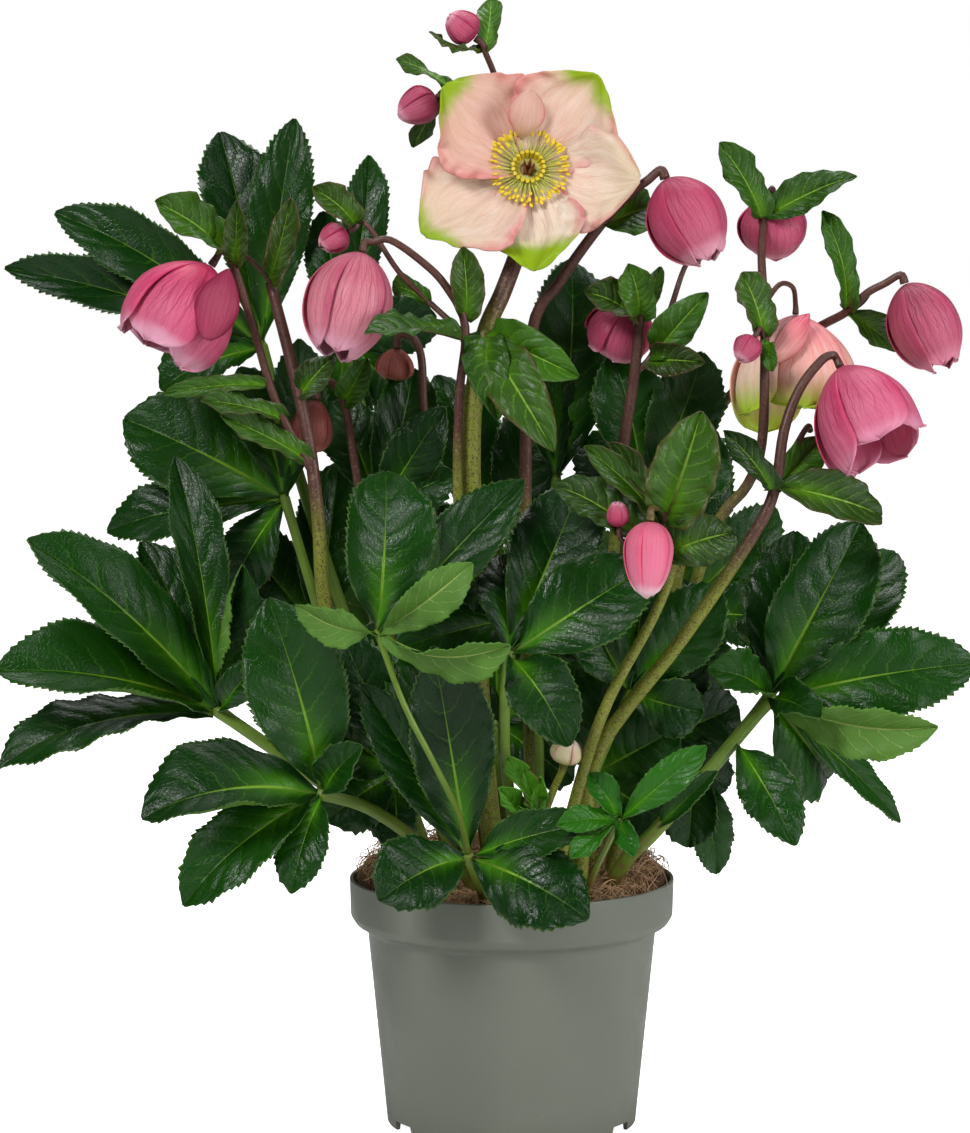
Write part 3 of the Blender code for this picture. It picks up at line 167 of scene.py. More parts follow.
# %% Leaves
LEAVES = {
    "leaf_left": Leaf(
        root=(-42, -26), via=[(-75, -32, 166), (-115, -33, 196)], hub=(-151, -30, 221), stalk=3.2,
        face=(0.15, -0.85, 0.5), leaflets=[
            Blade((-243, -60, 316), 56, arch=8), Blade((-260, -78, 252), 54, arch=10),
            Blade((-264, -66, 206), 44, arch=8, face=(0.1, -0.7, 0.7)),
            Blade((-192, -4, 308), 40, curl=(0.2, 1.6)), Blade((-172, -6, 353), 30, arch=6),
            Blade((-136, -46, 296), 34, arch=-6, fold=0.5, face=(0.5, -0.8, 0.2), curl=(0.1, 2.7)),
            Blade((-127, -58, 252), 18, arch=4),
        ]),
    "leaf_front_left": Leaf(
        root=(-30, -42), via=[(-42, -58, 152), (-70, -72, 176)], hub=(-96, -80, 186), stalk=3.0,
        face=(0.1, -0.75, 0.6), leaflets=[
            Blade((-186, -112, 184), 66, arch=10, fold=0.1),
            Blade((-166, -122, 140), 38, arch=8, curl=(1.2, 0.1)), Blade((-111, -116, 143), 26),
            Blade((-122, -96, 287), 52, arch=8, face=(0.2, -0.95, 0.1), curl=(0.9, 0.2)),
            Blade((-76, -102, 214), 24, arch=4, curl=(0.2, 1.9)),
        ]),
    "leaf_front": Leaf(
        root=(-13, -60), via=[(-16, -68, 138)], hub=(-22, -82, 154), stalk=3.4, face=(0.0, -0.8, 0.6),
        leaflets=[
            Blade((-67, -112, 138), 42, arch=6), Blade((38, -120, 131), 46, arch=9, fold=0.1),
            Blade((42, -101, 176), 26, arch=6, curl=(0.1, 1.3)),
            Blade((-38, -104, 262), 46, arch=-4, face=(0.0, -1.0, 0.1), curl=(0.2, 0.7)),
            Blade((-72, -94, 243), 30, arch=-3, face=(0.0, -1.0, 0.1)),
        ],
        extras=[
            Leaf(root=None, via=[(-27, -98, 178), (-38, -112, 204), (-54, -114, 236)],
                 hub=(-67, -106, 270), leaflets=[
                     Blade((-62, -92, 353), 50, arch=7, fold=0.1),
                     Blade((4, -92, 346), 36, arch=-5, fold=0.35),
                     Blade((-20, -128, 307), 24, face=(-0.3, -0.9, -0.3)),
                     Blade((-1, -130, 266), 28, arch=10, face=(0.0, -0.8, -0.6), fold=0.3),
                     Blade((-107, -124, 285), 20, face=(0.0, -0.7, -0.7)),
                 ]),
        ]),
    "leaf_middle": Leaf(
        root=(4, -44), via=[(0, -60, 170), (-4, -76, 205), (-4, -88, 235)], hub=(-2, -95, 258), stalk=2.8,
        face=(0.0, -0.9, 0.45), leaflets=[
            Blade((29, -126, 217), 36, arch=10, face=(0.1, -0.8, 0.6), curl=(0.2, 1.2)),
            Blade((69, -84, 303), 48, arch=8, face=(0.2, -0.85, 0.5)), Blade((36, -58, 344), 44, arch=6),
            Blade((-6, -68, 308), 32, fold=0.3),
        ]),
    "leaf_centre_back": Leaf(
        root=(8, 36), via=[(14, 40, 230)], hub=(24, 42, 335), stalk=2.6, leaflets=[
            Blade((36, 62, 455), 54, arch=8), Blade((8, 50, 412), 34, fold=0.25),
        ]),
    "leaf_right_back": Leaf(
        root=(36, 28), via=[(50, 34, 220)], hub=(70, 34, 325), face=(0.1, -0.95, 0.3), stalk=2.6,
        leaflets=[
            Blade((55, 30, 404), 42), Blade((34, 40, 356), 34, arch=4), Blade((104, 44, 404), 40, arch=6),
            Blade((116, 26, 345), 36, arch=6),
        ]),
    "leaf_right": Leaf(
        root=(48, -34), via=[(60, -44, 148), (72, -50, 161), (100, -38, 190)], hub=(133, -20, 226),
        stalk=3.5, face=(-0.1, -0.85, 0.5), fresh=0.15, leaflets=[
            Blade((182, -10, 318), 54, arch=7), Blade((204, 24, 300), 46, arch=6),
            Blade((148, 6, 312), 42), Blade((241, -24, 246), 46, arch=10),
            Blade((214, -64, 213), 32, arch=6, fold=0.3, face=(0.0, -0.9, -0.4), curl=(1.5, 0.3)),
            Blade((170, 4, 178), 50, arch=6), Blade((209, 18, 155), 20, arch=8),
            Blade((144, -64, 157), 30, base=(116, -30, 204), face=(0.3, -0.9, 0.2)),
            Blade((126, 4, 268), 38, arch=4, face=(0.3, -0.9, 0.1)), Blade((101, -52, 247), 26, arch=6),
            Blade((156, -64, 222), 22, face=(0.0, -0.7, 0.7)),
            Blade((103, -68, 196), 14, arch=3, base=(74, -49, 163)),
        ]),
    "leaf_young": Leaf(
        root=(36, -55), via=[(43, -76, 150)], hub=(53, -94, 175), stalk=1.8, face=(0.0, -0.9, 0.4),
        fresh=0.7, leaflets=[
            Blade((96, -106, 214), 18, arch=4), Blade((38, -98, 200), 16, arch=3),
            Blade((22, -113, 177), 14, arch=3), Blade((28, -116, 160), 12, arch=3),
            Blade((60, -110, 160), 12, arch=3),
        ]),
    "leaf_right_low": Leaf(
        root=(62, 6), via=[(80, 20, 168)], hub=(96, 30, 186), stalk=2.2, face=(0.3, -0.9, 0.3),
        fresh=0.15, leaflets=[
            Blade((94, 26, 140), 32, arch=3), Blade((112, 38, 122), 24),
        ]),
    "leaf_upper_left": Leaf(
        root=(-50, 22), via=[(-75, 36, 220), (-108, 50, 320)], hub=(-133, 60, 405), stalk=3.0,
        face=(0.1, -0.9, 0.4), leaflets=[
            Blade((-155, 72, 520), 50, arch=8),
            Blade((-115, 62, 527), 34, arch=6, face=(-0.2, -0.95, 0.2)),
            Blade((-242, 48, 480), 44, arch=12, broad=0.82),
            Blade((-268, 40, 450), 40, arch=7, face=(0.1, -0.85, 0.5), curl=(0.7, 0.5), broad=0.72),
            Blade((-188, 44, 386), 38, arch=4),
        ]),
    "leaf_upper_middle": Leaf(
        root=(-34, 34), via=[(-52, 46, 240), (-72, 56, 340)], hub=(-89, 62, 410), fresh=0.1, leaflets=[
            Blade((-73, 70, 509), 26, arch=8, fold=0.3), Blade((-102, 68, 478), 28),
            Blade((-92, 74, 352), 36, arch=4), Blade((-54, 72, 372), 30, arch=4),
            Blade((-38, 66, 420), 32, arch=4),
        ]),
    "leaf_left_back": Leaf(
        root=(-56, 2), via=[(-82, 8, 200), (-102, 14, 270)], hub=(-119, 18, 327), stalk=2.6,
        face=(0.1, -0.85, 0.5), leaflets=[
            Blade((-204, 24, 370), 60, arch=3), Blade((-216, 22, 314), 36, arch=3),
            Blade((-150, 26, 275), 34), Blade((-142, 22, 398), 32), Blade((-108, 24, 412), 30, arch=4),
        ]),
    "leaf_fill_right": Leaf(
        root=(22, -36), via=[(40, -40, 185)], hub=(60, -40, 232), face=(0.0, -1.0, 0.05), fresh=0.1,
        leaflets=[
            Blade((106, -42, 288), 38, arch=3), Blade((98, -44, 222), 32, arch=3),
            Blade((34, -42, 280), 36, arch=3), Blade((69, -40, 306), 30, arch=3),
        ]),
    "leaf_fill_left": Leaf(
        root=(-20, -36), via=[(-40, -50, 170)], hub=(-60, -60, 205), face=(0.0, -1.0, 0.05), leaflets=[
            Blade((-88, -64, 266), 36, arch=3), Blade((-42, -60, 260), 32, arch=3),
        ]),
    "leaf_far_right": Leaf(
        root=(46, 40), via=[(66, 54, 180)], hub=(90, 66, 262), face=(0.1, -0.9, 0.3), leaflets=[
            Blade((68, 76, 350), 38), Blade((106, 74, 368), 40), Blade((146, 72, 318), 38),
            Blade((156, 70, 258), 36, arch=6), Blade((112, 78, 214), 34, arch=6),
        ]),
    "leaf_far_middle": Leaf(
        root=(-4, 48), via=[(-4, 60, 180)], hub=(-6, 66, 296), face=(0.0, -0.9, 0.3), leaflets=[
            Blade((-38, 72, 392), 44), Blade((22, 74, 388), 40), Blade((-66, 74, 306), 36),
            Blade((40, 76, 296), 36),
        ]),
    "leaf_far_left": Leaf(
        root=(-48, 44), via=[(-72, 50, 180)], hub=(-104, 56, 252), face=(-0.1, -0.9, 0.3), leaflets=[
            Blade((-150, 66, 306), 40), Blade((-92, 66, 345), 42), Blade((-166, 60, 244), 34, arch=6),
        ]),
    "leaf_back_left": Leaf(
        root=(-34, 56), via=[(-48, 84, 176)], hub=(-70, 106, 224), face=(-0.2, 0.6, 0.7), leaflets=[
            Blade((-142, 132, 258), 40), Blade((-92, 150, 306), 42), Blade((-30, 152, 290), 40),
            Blade((-106, 156, 196), 34, arch=6),
        ]),
    "leaf_back_middle": Leaf(
        root=(8, 64), via=[(10, 90, 164)], hub=(14, 114, 194), face=(0.0, 0.6, 0.8), leaflets=[
            Blade((-42, 168, 186), 40, arch=6), Blade((22, 190, 208), 44, arch=6),
            Blade((74, 162, 180), 38, arch=6),
        ]),
    "leaf_back_right": Leaf(
        root=(40, 56), via=[(58, 86, 184)], hub=(82, 110, 232), face=(0.2, 0.6, 0.7), leaflets=[
            Blade((42, 150, 300), 40), Blade((104, 152, 312), 42), Blade((158, 128, 266), 38),
            Blade((140, 156, 206), 34, arch=6),
        ]),
    "leaf_centre_left": Leaf(
        root=(-27, -4), via=[(-40, 4, 220)], hub=(-70, 16, 322), face=(0.1, -0.95, 0.3), leaflets=[
            Blade((-50, 32, 396), 36), Blade((-36, -9, 376), 28, arch=4),
            Blade((-92, 26, 380), 34, arch=4), Blade((-30, 2, 342), 30, arch=4),
        ]),
    "leaf_core_left": Leaf(
        root=(-40, -16), via=[(-48, -22, 160)], hub=(-60, -28, 188), leaflets=[
            Blade((-104, -44, 222), 44), Blade((-70, -34, 256), 44), Blade((-26, -34, 228), 40),
            Blade((-96, -42, 166), 38), Blade((-58, -50, 152), 30, arch=4),
        ]),
    "leaf_core_right": Leaf(
        root=(30, -8), via=[(36, -12, 158)], hub=(42, -14, 186), leaflets=[
            Blade((86, -38, 214), 44), Blade((52, -16, 254), 40), Blade((18, -6, 232), 36),
            Blade((82, -36, 162), 38),
        ]),
    "leaf_core_back": Leaf(
        root=(-4, 24), via=[(-6, 30, 170)], hub=(-8, 36, 206), leaflets=[
            Blade((-50, 28, 244), 40), Blade((-10, 44, 284), 40), Blade((40, 28, 246), 40),
            Blade((-46, 35, 180), 34), Blade((34, 26, 176), 34),
        ]),
    "leaf_core_far_left": Leaf(
        root=(-60, 22), via=[(-72, 28, 170)], hub=(-88, 34, 204), face=(-0.1, -0.95, 0.3), leaflets=[
            Blade((-138, 38, 216), 36), Blade((-108, 38, 262), 38), Blade((-62, 38, 262), 36),
            Blade((-124, 44, 168), 32),
        ]),
    "leaf_core_far_right": Leaf(
        root=(56, 30), via=[(64, 36, 165)], hub=(76, 42, 196), face=(0.1, -0.95, 0.3), leaflets=[
            Blade((124, 46, 214), 38), Blade((92, 46, 252), 38), Blade((56, 62, 250), 36),
            Blade((118, 52, 168), 32),
        ]),
    "leaf_core_high": Leaf(
        root=(14, -22), via=[(14, -24, 210)], hub=(12, -26, 270), leaflets=[
            Blade((12, -28, 328), 34), Blade((48, -24, 308), 34), Blade((44, -20, 256), 30),
            Blade((-32, -46, 296), 34), Blade((-60, -68, 258), 36),
        ]),
}
print(len(LEAVES), "leaves")

# %% Blooms and buds
BLOOMS = {
    "bloom_left": Bloom((-153, -34, 450), (-0.55, -0.15, -0.82), 52, 27, mouth=0.85, turn=20),
    "bloom_inner_left": Bloom((-76, -42, 457), (-0.25, -0.15, -0.95), 56, 22.5, mouth=0.6, slim=0.93,
                              reach=(-0.1, 0.0)),
    "bud_left": Bloom((-84, -27, 467), (-0.85, -0.2, -0.45), 16, 7, mouth=0.3),
    "bud_top": Bloom((-19, 2, 566), (-0.75, -0.1, 0.62), 18, 8, mouth=0.3),
    "bud_top_left": Bloom((-39, 6, 536), (-0.88, -0.15, -0.45), 22, 9, mouth=0.15),
    "bloom_right_top": Bloom((78, -20, 494), (0.46, -0.15, -0.88), 49, 21, mouth=0.45, slim=0.9,
                             reach=(-0.1, 0.0)),
    "bloom_right_back": Bloom((62, 12, 429), (-0.3, 0.45, -0.84), 28, 17, mouth=0.9),
    "bloom_right_far": Bloom((135, 11, 484), (0.05, 0.3, -0.95), 32, 17, mouth=0.6),
    "bloom_right_edge": Bloom((203, 0, 440), (0.42, -0.1, -0.9), 50, 20, mouth=0.45, slim=0.88,
                              reach=(-0.1, 0.0)),
    "bloom_pale": Bloom((147, 4, 424), (0.0, -0.1, -0.99), 60, 31, mouth=0.95, reach=(-0.35, 0.05)),
    "bloom_right_front": Bloom((166, -44, 399), (0.4, -0.33, -0.86), 55, 25, mouth=0.95,
                               reach=(-0.14, 0.03)),
    "bud_right": Bloom((122, -48, 414), (-0.5, -0.4, -0.75), 15, 6.5, mouth=0.3),
    "bud_middle": Bloom((67, -117, 327), (-0.05, -0.15, -0.98), 38, 12.5, mouth=0.25, slim=0.88),
    "bud_small": Bloom((52, -108, 323), (-0.1, -0.1, 0.98), 13, 5, mouth=0.3),
    "bud_brown_left": Bloom((-101, -12, 381), (-0.15, -0.05, -0.98), 28, 10, mouth=0.6, taper=-0.3),
    "bud_brown_middle": Bloom((-60, 22, 406), (-0.1, 0.1, -0.98), 17, 9, mouth=0.6, taper=-0.3),
    "bud_low": Bloom((26, -68, 200), (0.2, -0.3, 0.93), 13, 7.5, mouth=0.3),
}
print(len(BLOOMS), "blooms and buds")

# %% Flower stems
STEMS = {
    "stem_left": Stem(
        run=[(-44, -8, 0), (-60, -16, 175), (-84, -32, 240), (-96, -40, 280), (-99, -38, 320),
             (-104, -34, 361), (-113, -26, 400), (-124, -18, 441)],
        radii=(5.6, 3.0),
        branches=[
            ([(-102, -36, 345), (-116, -38, 371), (-124, -40, 392), (-132, -37, 420),
              (-141, -33, 448), (-147, -33, 458)], 2.6, 1.8, "bloom_left"),
            ([(-123, -19, 440), (-131, -22, 450), (-138, -25, 456)], 1.6, 1.2, None),
        ],
        bracts=[
            bract((-147, -33, 458), (-179, -60, 483), 27, arch=4, curl=(0.9, 0.7)),
            bract((-137, -25, 455), (-166, -18, 482), 10), bract((-141, -35, 450), (-139, -50, 483), 14),
            bract((-124, -19, 440), (-112, -30, 484), 17), bract((-124, -40, 390), (-178, -46, 386), 12),
            bract((-116, -38, 372), (-157, -52, 384), 16), bract((-103, -36, 350), (-148, -48, 375), 18),
            bract((-109, -30, 384), (-91, -30, 405), 18),
        ]),
    "stem_centre": Stem(
        run=[(-8, -14, 0), (-14, -24, 190), (-18, -30, 253), (-21, -35, 336), (-20, -34, 380),
             (-14, -30, 415), (-5, -25, 436), (4, -14, 460), (8, -2, 476), (9, 3, 488)],
        radii=(6.6, 4.0), bloom="bloom_open", flush=432.0,
        branches=[
            ([(-18, -31, 255), (-26, -40, 300), (-28, -43, 342), (-27, -42, 385), (-24, -40, 419),
              (-34, -42, 440), (-47, -42, 453), (-62, -42, 463), (-71, -41, 462)],
             3.0, 1.7, "bloom_inner_left"),
            ([(-25, -40, 416), (-43, -34, 432), (-58, -32, 447), (-72, -27, 468), (-78, -25, 472)],
             1.8, 1.3, "bud_left"),
            ([(8, 0, 480), (5, 9, 502), (-2, 10, 525), (-9, 8, 547), (-14, 4, 559)],
             1.9, 1.6, "bud_top"),
            ([(4, 9, 506), (-14, 11, 527), (-30, 8, 540)], 1.5, 1.2, "bud_top_left"),
        ],
        bracts=[
            bract((-80, -26, 471), (-101, -38, 490), 20), bract((-23, -38, 422), (-25, -42, 460), 20),
            bract((-25, -40, 413), (-73, -80, 420), 24, face=(0.0, -0.7, 0.7)),
            bract((-43, -34, 431), (-63, -26, 441), 14),
            bract((-15, -32, 414), (-7, -66, 374), 20, arch=8, broad=1.35),
            bract((-15, -32, 414), (21, -72, 358), 24, arch=10, broad=1.35),
            bract((-15, -32, 414), (33, -60, 394), 20, arch=8, broad=1.35),
            bract((-16, 4, 561), (-41, -5, 571), 14, arch=-3, fold=-0.5, face=(0.0, -0.3, 1.0)),
            bract((-14, 4, 559), (-10, 17, 588), 15, fold=-0.22),
            bract((-31, 8, 540), (-60, 14, 557), 9, fold=-0.22),
            bract((-31, 8, 540), (-52, 22, 510), 10, fold=-0.22),
            bract((8, 4, 480), (58, 10, 510), 26, curl=(0.5, 0.4)), bract((8, 3, 478), (-46, 6, 490), 20),
        ]),
    "stem_right_top": Stem(
        run=[(12, 12, 0), (9, 6, 220), (7, 0, 330), (10, -5, 414), (25, -10, 442), (45, -15, 470),
             (61, -18, 487), (69, -19, 493)],
        radii=(4.4, 2.2), bloom="bloom_right_top",
        bracts=[bract((46, -15, 470), (76, 7, 481), 30)]),
    "stem_right_back": Stem(
        run=[(40, 6, 0), (47, 4, 220), (53, 2, 300), (58, 0, 355), (63, 0, 390), (66, 0, 420),
             (66, 3, 431), (64, 8, 434)],
        radii=(4.0, 2.4), bloom="bloom_right_back",
        branches=[
            ([(64, 0, 394), (72, 2, 402), (80, 5, 420), (88, 9, 444), (92, 12, 452)],
             2.2, 1.4, None),
        ],
        bracts=[
            bract((66, 0, 421), (38, -14, 438), 24, wave=2.0),
            bract((66, 0, 423), (61, -18, 450), 24, wave=2.0), bract((67, 3, 424), (77, 4, 449), 12),
            bract((72, 2, 402), (101, -6, 436), 22), bract((70, 2, 400), (99, -12, 400), 20),
        ]),
    "stem_right_far": Stem(
        run=[(50, -14, 0), (66, -20, 190), (86, -26, 260), (104, -28, 316), (120, -33, 338),
             (127, -38, 360), (128, -41, 400), (128, -32, 430), (128, -12, 455), (130, 1, 474),
             (132, 6, 483)],
        radii=(4.2, 1.7), bloom="bloom_right_far",
        branches=[
            ([(128, -40, 405), (127, -42, 414), (126, -44, 418)], 1.3, 1.2, "bud_right"),
            ([(128, -32, 430), (137, -18, 440), (145, -2, 438)], 1.5, 1.4, "bloom_pale"),
        ],
        bracts=[
            bract((130, 0, 473), (107, -10, 513), 22), bract((131, 1, 475), (177, -6, 498), 22),
            bract((128, -40, 414), (117, -34, 447), 22), bract((129, -42, 412), (131, -48, 396), 9),
        ]),
    "stem_right_edge": Stem(
        run=[(60, 16, 0), (77, 28, 220), (93, 36, 310), (106, 42, 363), (120, 45, 384),
             (143, 43, 404), (162, 28, 417), (174, 10, 425), (184, 4, 435), (193, 2, 440)],
        radii=(3.8, 1.9), bloom="bloom_right_edge",
        branches=[([(174, 10, 424), (183, 14, 430), (188, 17, 437)], 1.3, 1.1, None)],
        bracts=[
            bract((174, 10, 425), (161, 2, 479), 17, arch=10), bract((174, 10, 424), (206, 32, 404), 18),
        ]),
    "stem_right_front": Stem(
        run=[(34, -42, 0), (37, -50, 165), (45, -56, 207), (86, -63, 263), (120, -61, 313),
             (132, -58, 337), (137, -54, 367), (145, -50, 388), (156, -46, 402), (162, -44, 405)],
        radii=(5.4, 1.8), bloom="bloom_right_front", flush=310.0,
        branches=[([(133, -57, 345), (142, -48, 357), (150, -38, 368), (152, -34, 366)],
                   1.5, 1.8, None)],
        bracts=[
            bract((131, -59, 337), (106, -82, 369), 16),
            bract((133, -58, 340), (193, -34, 322), 28, arch=7, curl=(1.1, 0.2)),
            bract((134, -57, 339), (160, -28, 362), 22),
        ]),
    "stem_middle": Stem(
        run=[(20, -60, 0), (34, -68, 190), (48, -77, 233), (70, -85, 276), (79, -93, 302),
             (77, -99, 320), (73, -106, 332), (69, -112, 333)],
        radii=(4.0, 1.7), bloom="bud_middle",
        branches=[([(77, -99, 320), (66, -98, 316), (57, -104, 314)], 1.4, 1.2, "bud_small")],
        bracts=[
            bract((75, -102, 326), (92, -120, 381), 38, arch=6, curl=(1.0, -0.5)),
            bract((76, -100, 322), (35, -100, 364), 16, arch=4),
            bract((66, -98, 316), (20, -92, 346), 26),
            bract((77, -99, 320), (48, -96, 365), 16, curl=(0.2, 1.0)),
            bract((78, -97, 310), (111, -98, 320), 28, arch=8, wave=1.5),
        ]),
    "stem_brown_left": Stem(
        run=[(-28, 14, 0), (-54, 6, 220), (-72, -1, 290), (-80, -3, 338), (-86, -3, 374),
             (-91, -5, 387), (-97, -9, 390)],
        radii=(3.2, 1.8), bloom="bud_brown_left",
        bracts=[bract((-87, -3, 378), (-74, -12, 402), 18)]),
    "stem_brown_middle": Stem(
        run=[(-12, 18, 0), (-28, 17, 230), (-42, 14, 320), (-46, 11, 373), (-47, 11, 400),
             (-51, 15, 411), (-56, 19, 413)],
        radii=(3.2, 1.8), bloom="bud_brown_middle"),
    "stem_low": Stem(
        run=[(8, -64, 0), (12, -65, 160), (20, -66, 184)],
        radii=(3.0, 1.8), bloom="bud_low",
        bracts=[
            bract((11, -65, 154), (2, -80, 180), 12, wave=2.0),
            bract((14, -65, 168), (6, -86, 200), 11, wave=2.0),
        ]),
}
print(len(STEMS), "flower stems")

# %% [markdown]
# ## Meshes from grids and tubes
# Everything green here is either a thin sheet or a tapering tube. Both could be Blender curves
# with modifiers, but a toothed, veined leaf needs its own rows of points, so each is computed as
# a grid with numpy, and a piece collects many of them into one mesh with its UV map, its slots
# and two attributes that the materials read.

# %% Small vector helpers
UV_NAME = "surface"
SPAN_STEPS = 5
FULL_TURN = 2 * math.pi


def unit(vector):
    """The same direction with length one; rows of an array are treated one by one."""
    vector = np.asarray(vector, float)
    return vector / np.maximum(np.linalg.norm(vector, axis=-1, keepdims=True), 1e-12)


def turned(vectors, axes, angles):
    """Vectors turned about axes by angles, by Rodrigues' formula."""
    cos = np.cos(angles)[..., None]
    sin = np.sin(angles)[..., None]
    along = np.sum(vectors * axes, axis=-1, keepdims=True)
    return vectors * cos + np.cross(axes, vectors) * sin + axes * along * (1 - cos)


def smooth_path(points):
    """Points along a smooth Catmull-Rom curve through the given points."""
    anchors = [np.asarray(p, float) for p in points]
    anchors = [anchors[0] * 2 - anchors[1]] + anchors + [anchors[-1] * 2 - anchors[-2]]
    path = []
    for a, b, c, d in zip(anchors, anchors[1:], anchors[2:], anchors[3:]):
        for t in np.arange(SPAN_STEPS) / SPAN_STEPS:
            path.append((b * 2 + (c - a) * t + (a * 2 - b * 5 + c * 4 - d) * t ** 2
                         + (b * 3 - a - c * 3 + d) * t ** 3) / 2)
    path.append(anchors[-2])
    return np.array(path)


def axis_frame(axis):
    """Three square directions, the first along the axis."""
    axis = unit(axis)
    helper = np.array((0.0, 1.0, 0.0)) if abs(axis[1]) < 0.8 else np.array((0.0, 0.0, 1.0))
    first = unit(helper - axis * (helper @ axis))
    return axis, first, np.cross(axis, first)


def beside(points, tangent, lift, swing, rise):
    """A grid of points beside a midline: swing goes sideways from it and rise goes upwards."""
    across = np.cross(lift, tangent)
    return points[:, None] + across[:, None] * swing[..., None] + lift[:, None] * rise[..., None]


def surface_map(t, s):
    """The map of a grid, for t from 0 to 1 along it and s from -1 to 1 across it."""
    return np.stack(np.broadcast_arrays(t, (s + 1) / 2), axis=-1)


def tube_faces(rings, sides):
    """Faces of a closed tube whose points are its rings and then the middles of its two ends."""
    index = np.arange(rings * sides).reshape(rings, sides)
    after = np.roll(index, -1, axis=1)
    faces = np.stack([index[:-1], after[:-1], after[1:], index[1:]], axis=-1).reshape(-1, 4).tolist()
    faces += [[rings * sides, after[0, k], index[0, k]] for k in range(sides)]
    faces += [[rings * sides + 1, index[-1, k], after[-1, k]] for k in range(sides)]
    return faces


print("helpers ready")

# %% A bundle of sheets and tubes that becomes one piece
TUBE_SLOT = 2
TUBE_TINT = 0.5


def dress(item, node):
    """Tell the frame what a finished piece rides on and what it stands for."""
    if not item.users_collection:
        link(item)
    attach(item, "root")
    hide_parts(node)


class Bundle:
    """Sheets and tubes in millimetres, gathered into the one mesh of a piece."""

    def __init__(self):
        self.points = []
        self.faces = []
        self.uvs = []
        self.slots = []
        self.tints = []
        self.ages = []
        self.count = 0

    def add(self, points, faces, uv, slots, tint, age):
        self.points.append(points)
        self.faces += [tuple(i + self.count for i in face) for face in faces]
        self.uvs.append(uv)
        self.slots += slots
        self.tints.append(np.broadcast_to(float(tint), len(points)))
        self.ages.append(np.broadcast_to(np.asarray(age, float), len(points)))
        self.count += len(points)

    def sheet(self, grid, uv, thickness, tint, age, slots=(0, 1)):
        """A thin closed sheet on a grid; its first slot is on the side that the grid's normal faces."""
        rows, columns = grid.shape[:2]
        normal = unit(np.cross(np.gradient(grid, axis=0), np.gradient(grid, axis=1)))
        top = (grid + normal * thickness / 2).reshape(-1, 3)
        bottom = (grid - normal * thickness / 2).reshape(-1, 3)
        index = np.arange(rows * columns).reshape(rows, columns)
        corners = [index[:-1, :-1], index[1:, :-1], index[1:, 1:], index[:-1, 1:]]
        quads = np.stack(corners, axis=-1).reshape(-1, 4)
        shift = rows * columns
        under = quads[:, ::-1] + shift
        ring = np.concatenate([index[0, :-1], index[:-1, -1], index[-1, :0:-1], index[:0:-1, 0]])
        after = np.roll(ring, -1)
        rim = np.stack([ring, after, after + shift, ring + shift], axis=-1)
        kinds = [slots[0]] * len(quads) + [slots[1]] * len(under) + [slots[0]] * len(rim)
        self.add(np.concatenate([top, bottom]), np.concatenate([quads, under, rim]).tolist(),
                 np.concatenate([uv.reshape(-1, 2)] * 2), kinds, tint, age)

    def tube(self, path, radii, sides, age):
        """A closed tube whose rings follow the path without twisting."""
        tangent = unit(np.gradient(path, axis=0))
        side = axis_frame(tangent[0])[1]
        rings = []
        angles = np.linspace(0, FULL_TURN, sides, endpoint=False)[:, None]
        for centre, direction, radius in zip(path, tangent, radii):
            side = unit(side - direction * (side @ direction))
            other = np.cross(direction, side)
            rings.append(centre + radius * (np.cos(angles) * side + np.sin(angles) * other))
        n = len(path)
        points = np.concatenate([np.concatenate(rings), path[:1], path[-1:]])
        faces = tube_faces(n, sides)
        u = np.repeat(np.linspace(0, 1, n), sides)
        v = np.tile(np.arange(sides) / sides, n)
        uv = np.stack([np.append(u, [0, 1]), np.append(v, [0, 0])], axis=-1)
        ages = np.broadcast_to(np.asarray(age, float), n)
        ages = np.concatenate([np.repeat(ages, sides), ages[:1], ages[-1:]])
        self.add(points, faces, uv, [TUBE_SLOT] * len(faces), TUBE_TINT, ages)

    def piece(self, name, looks, node):
        """The finished piece, which stands for its CAD node and rides on the only body."""
        mesh = bpy.data.meshes.new(name)
        mesh.from_pydata((np.concatenate(self.points) * MM).tolist(), [], self.faces)
        mesh.polygons.foreach_set("material_index", self.slots)
        mesh.polygons.foreach_set("use_smooth", [True] * len(self.faces))
        loops = np.empty(len(mesh.loops), int)
        mesh.loops.foreach_get("vertex_index", loops)
        layer = mesh.uv_layers.new(name=UV_NAME)
        layer.data.foreach_set("uv", np.concatenate(self.uvs)[loops].reshape(-1))
        for label, values in (("tint", self.tints), ("age", self.ages)):
            attribute = mesh.attributes.new(label, "FLOAT", "POINT")
            attribute.data.foreach_set("value", np.concatenate(values).astype(np.float32))
        for look in looks:
            mesh.materials.append(look)
        mesh.update()
        dress(bpy.data.objects.new(name, mesh), node)


print("bundle ready")

# %% [markdown]
# ## Writing materials
# Each finish is a small node tree. These helpers keep the trees readable: a node is made with its
# settings and its inputs in one call, and the common steps have a word of their own.

# %% Helpers for node trees
NET_WIDTH = 0.13
BUMP_DEPTH = 0.0006
ROUGH_SPREAD = 0.08
PLAIN_BUMP = 0.3


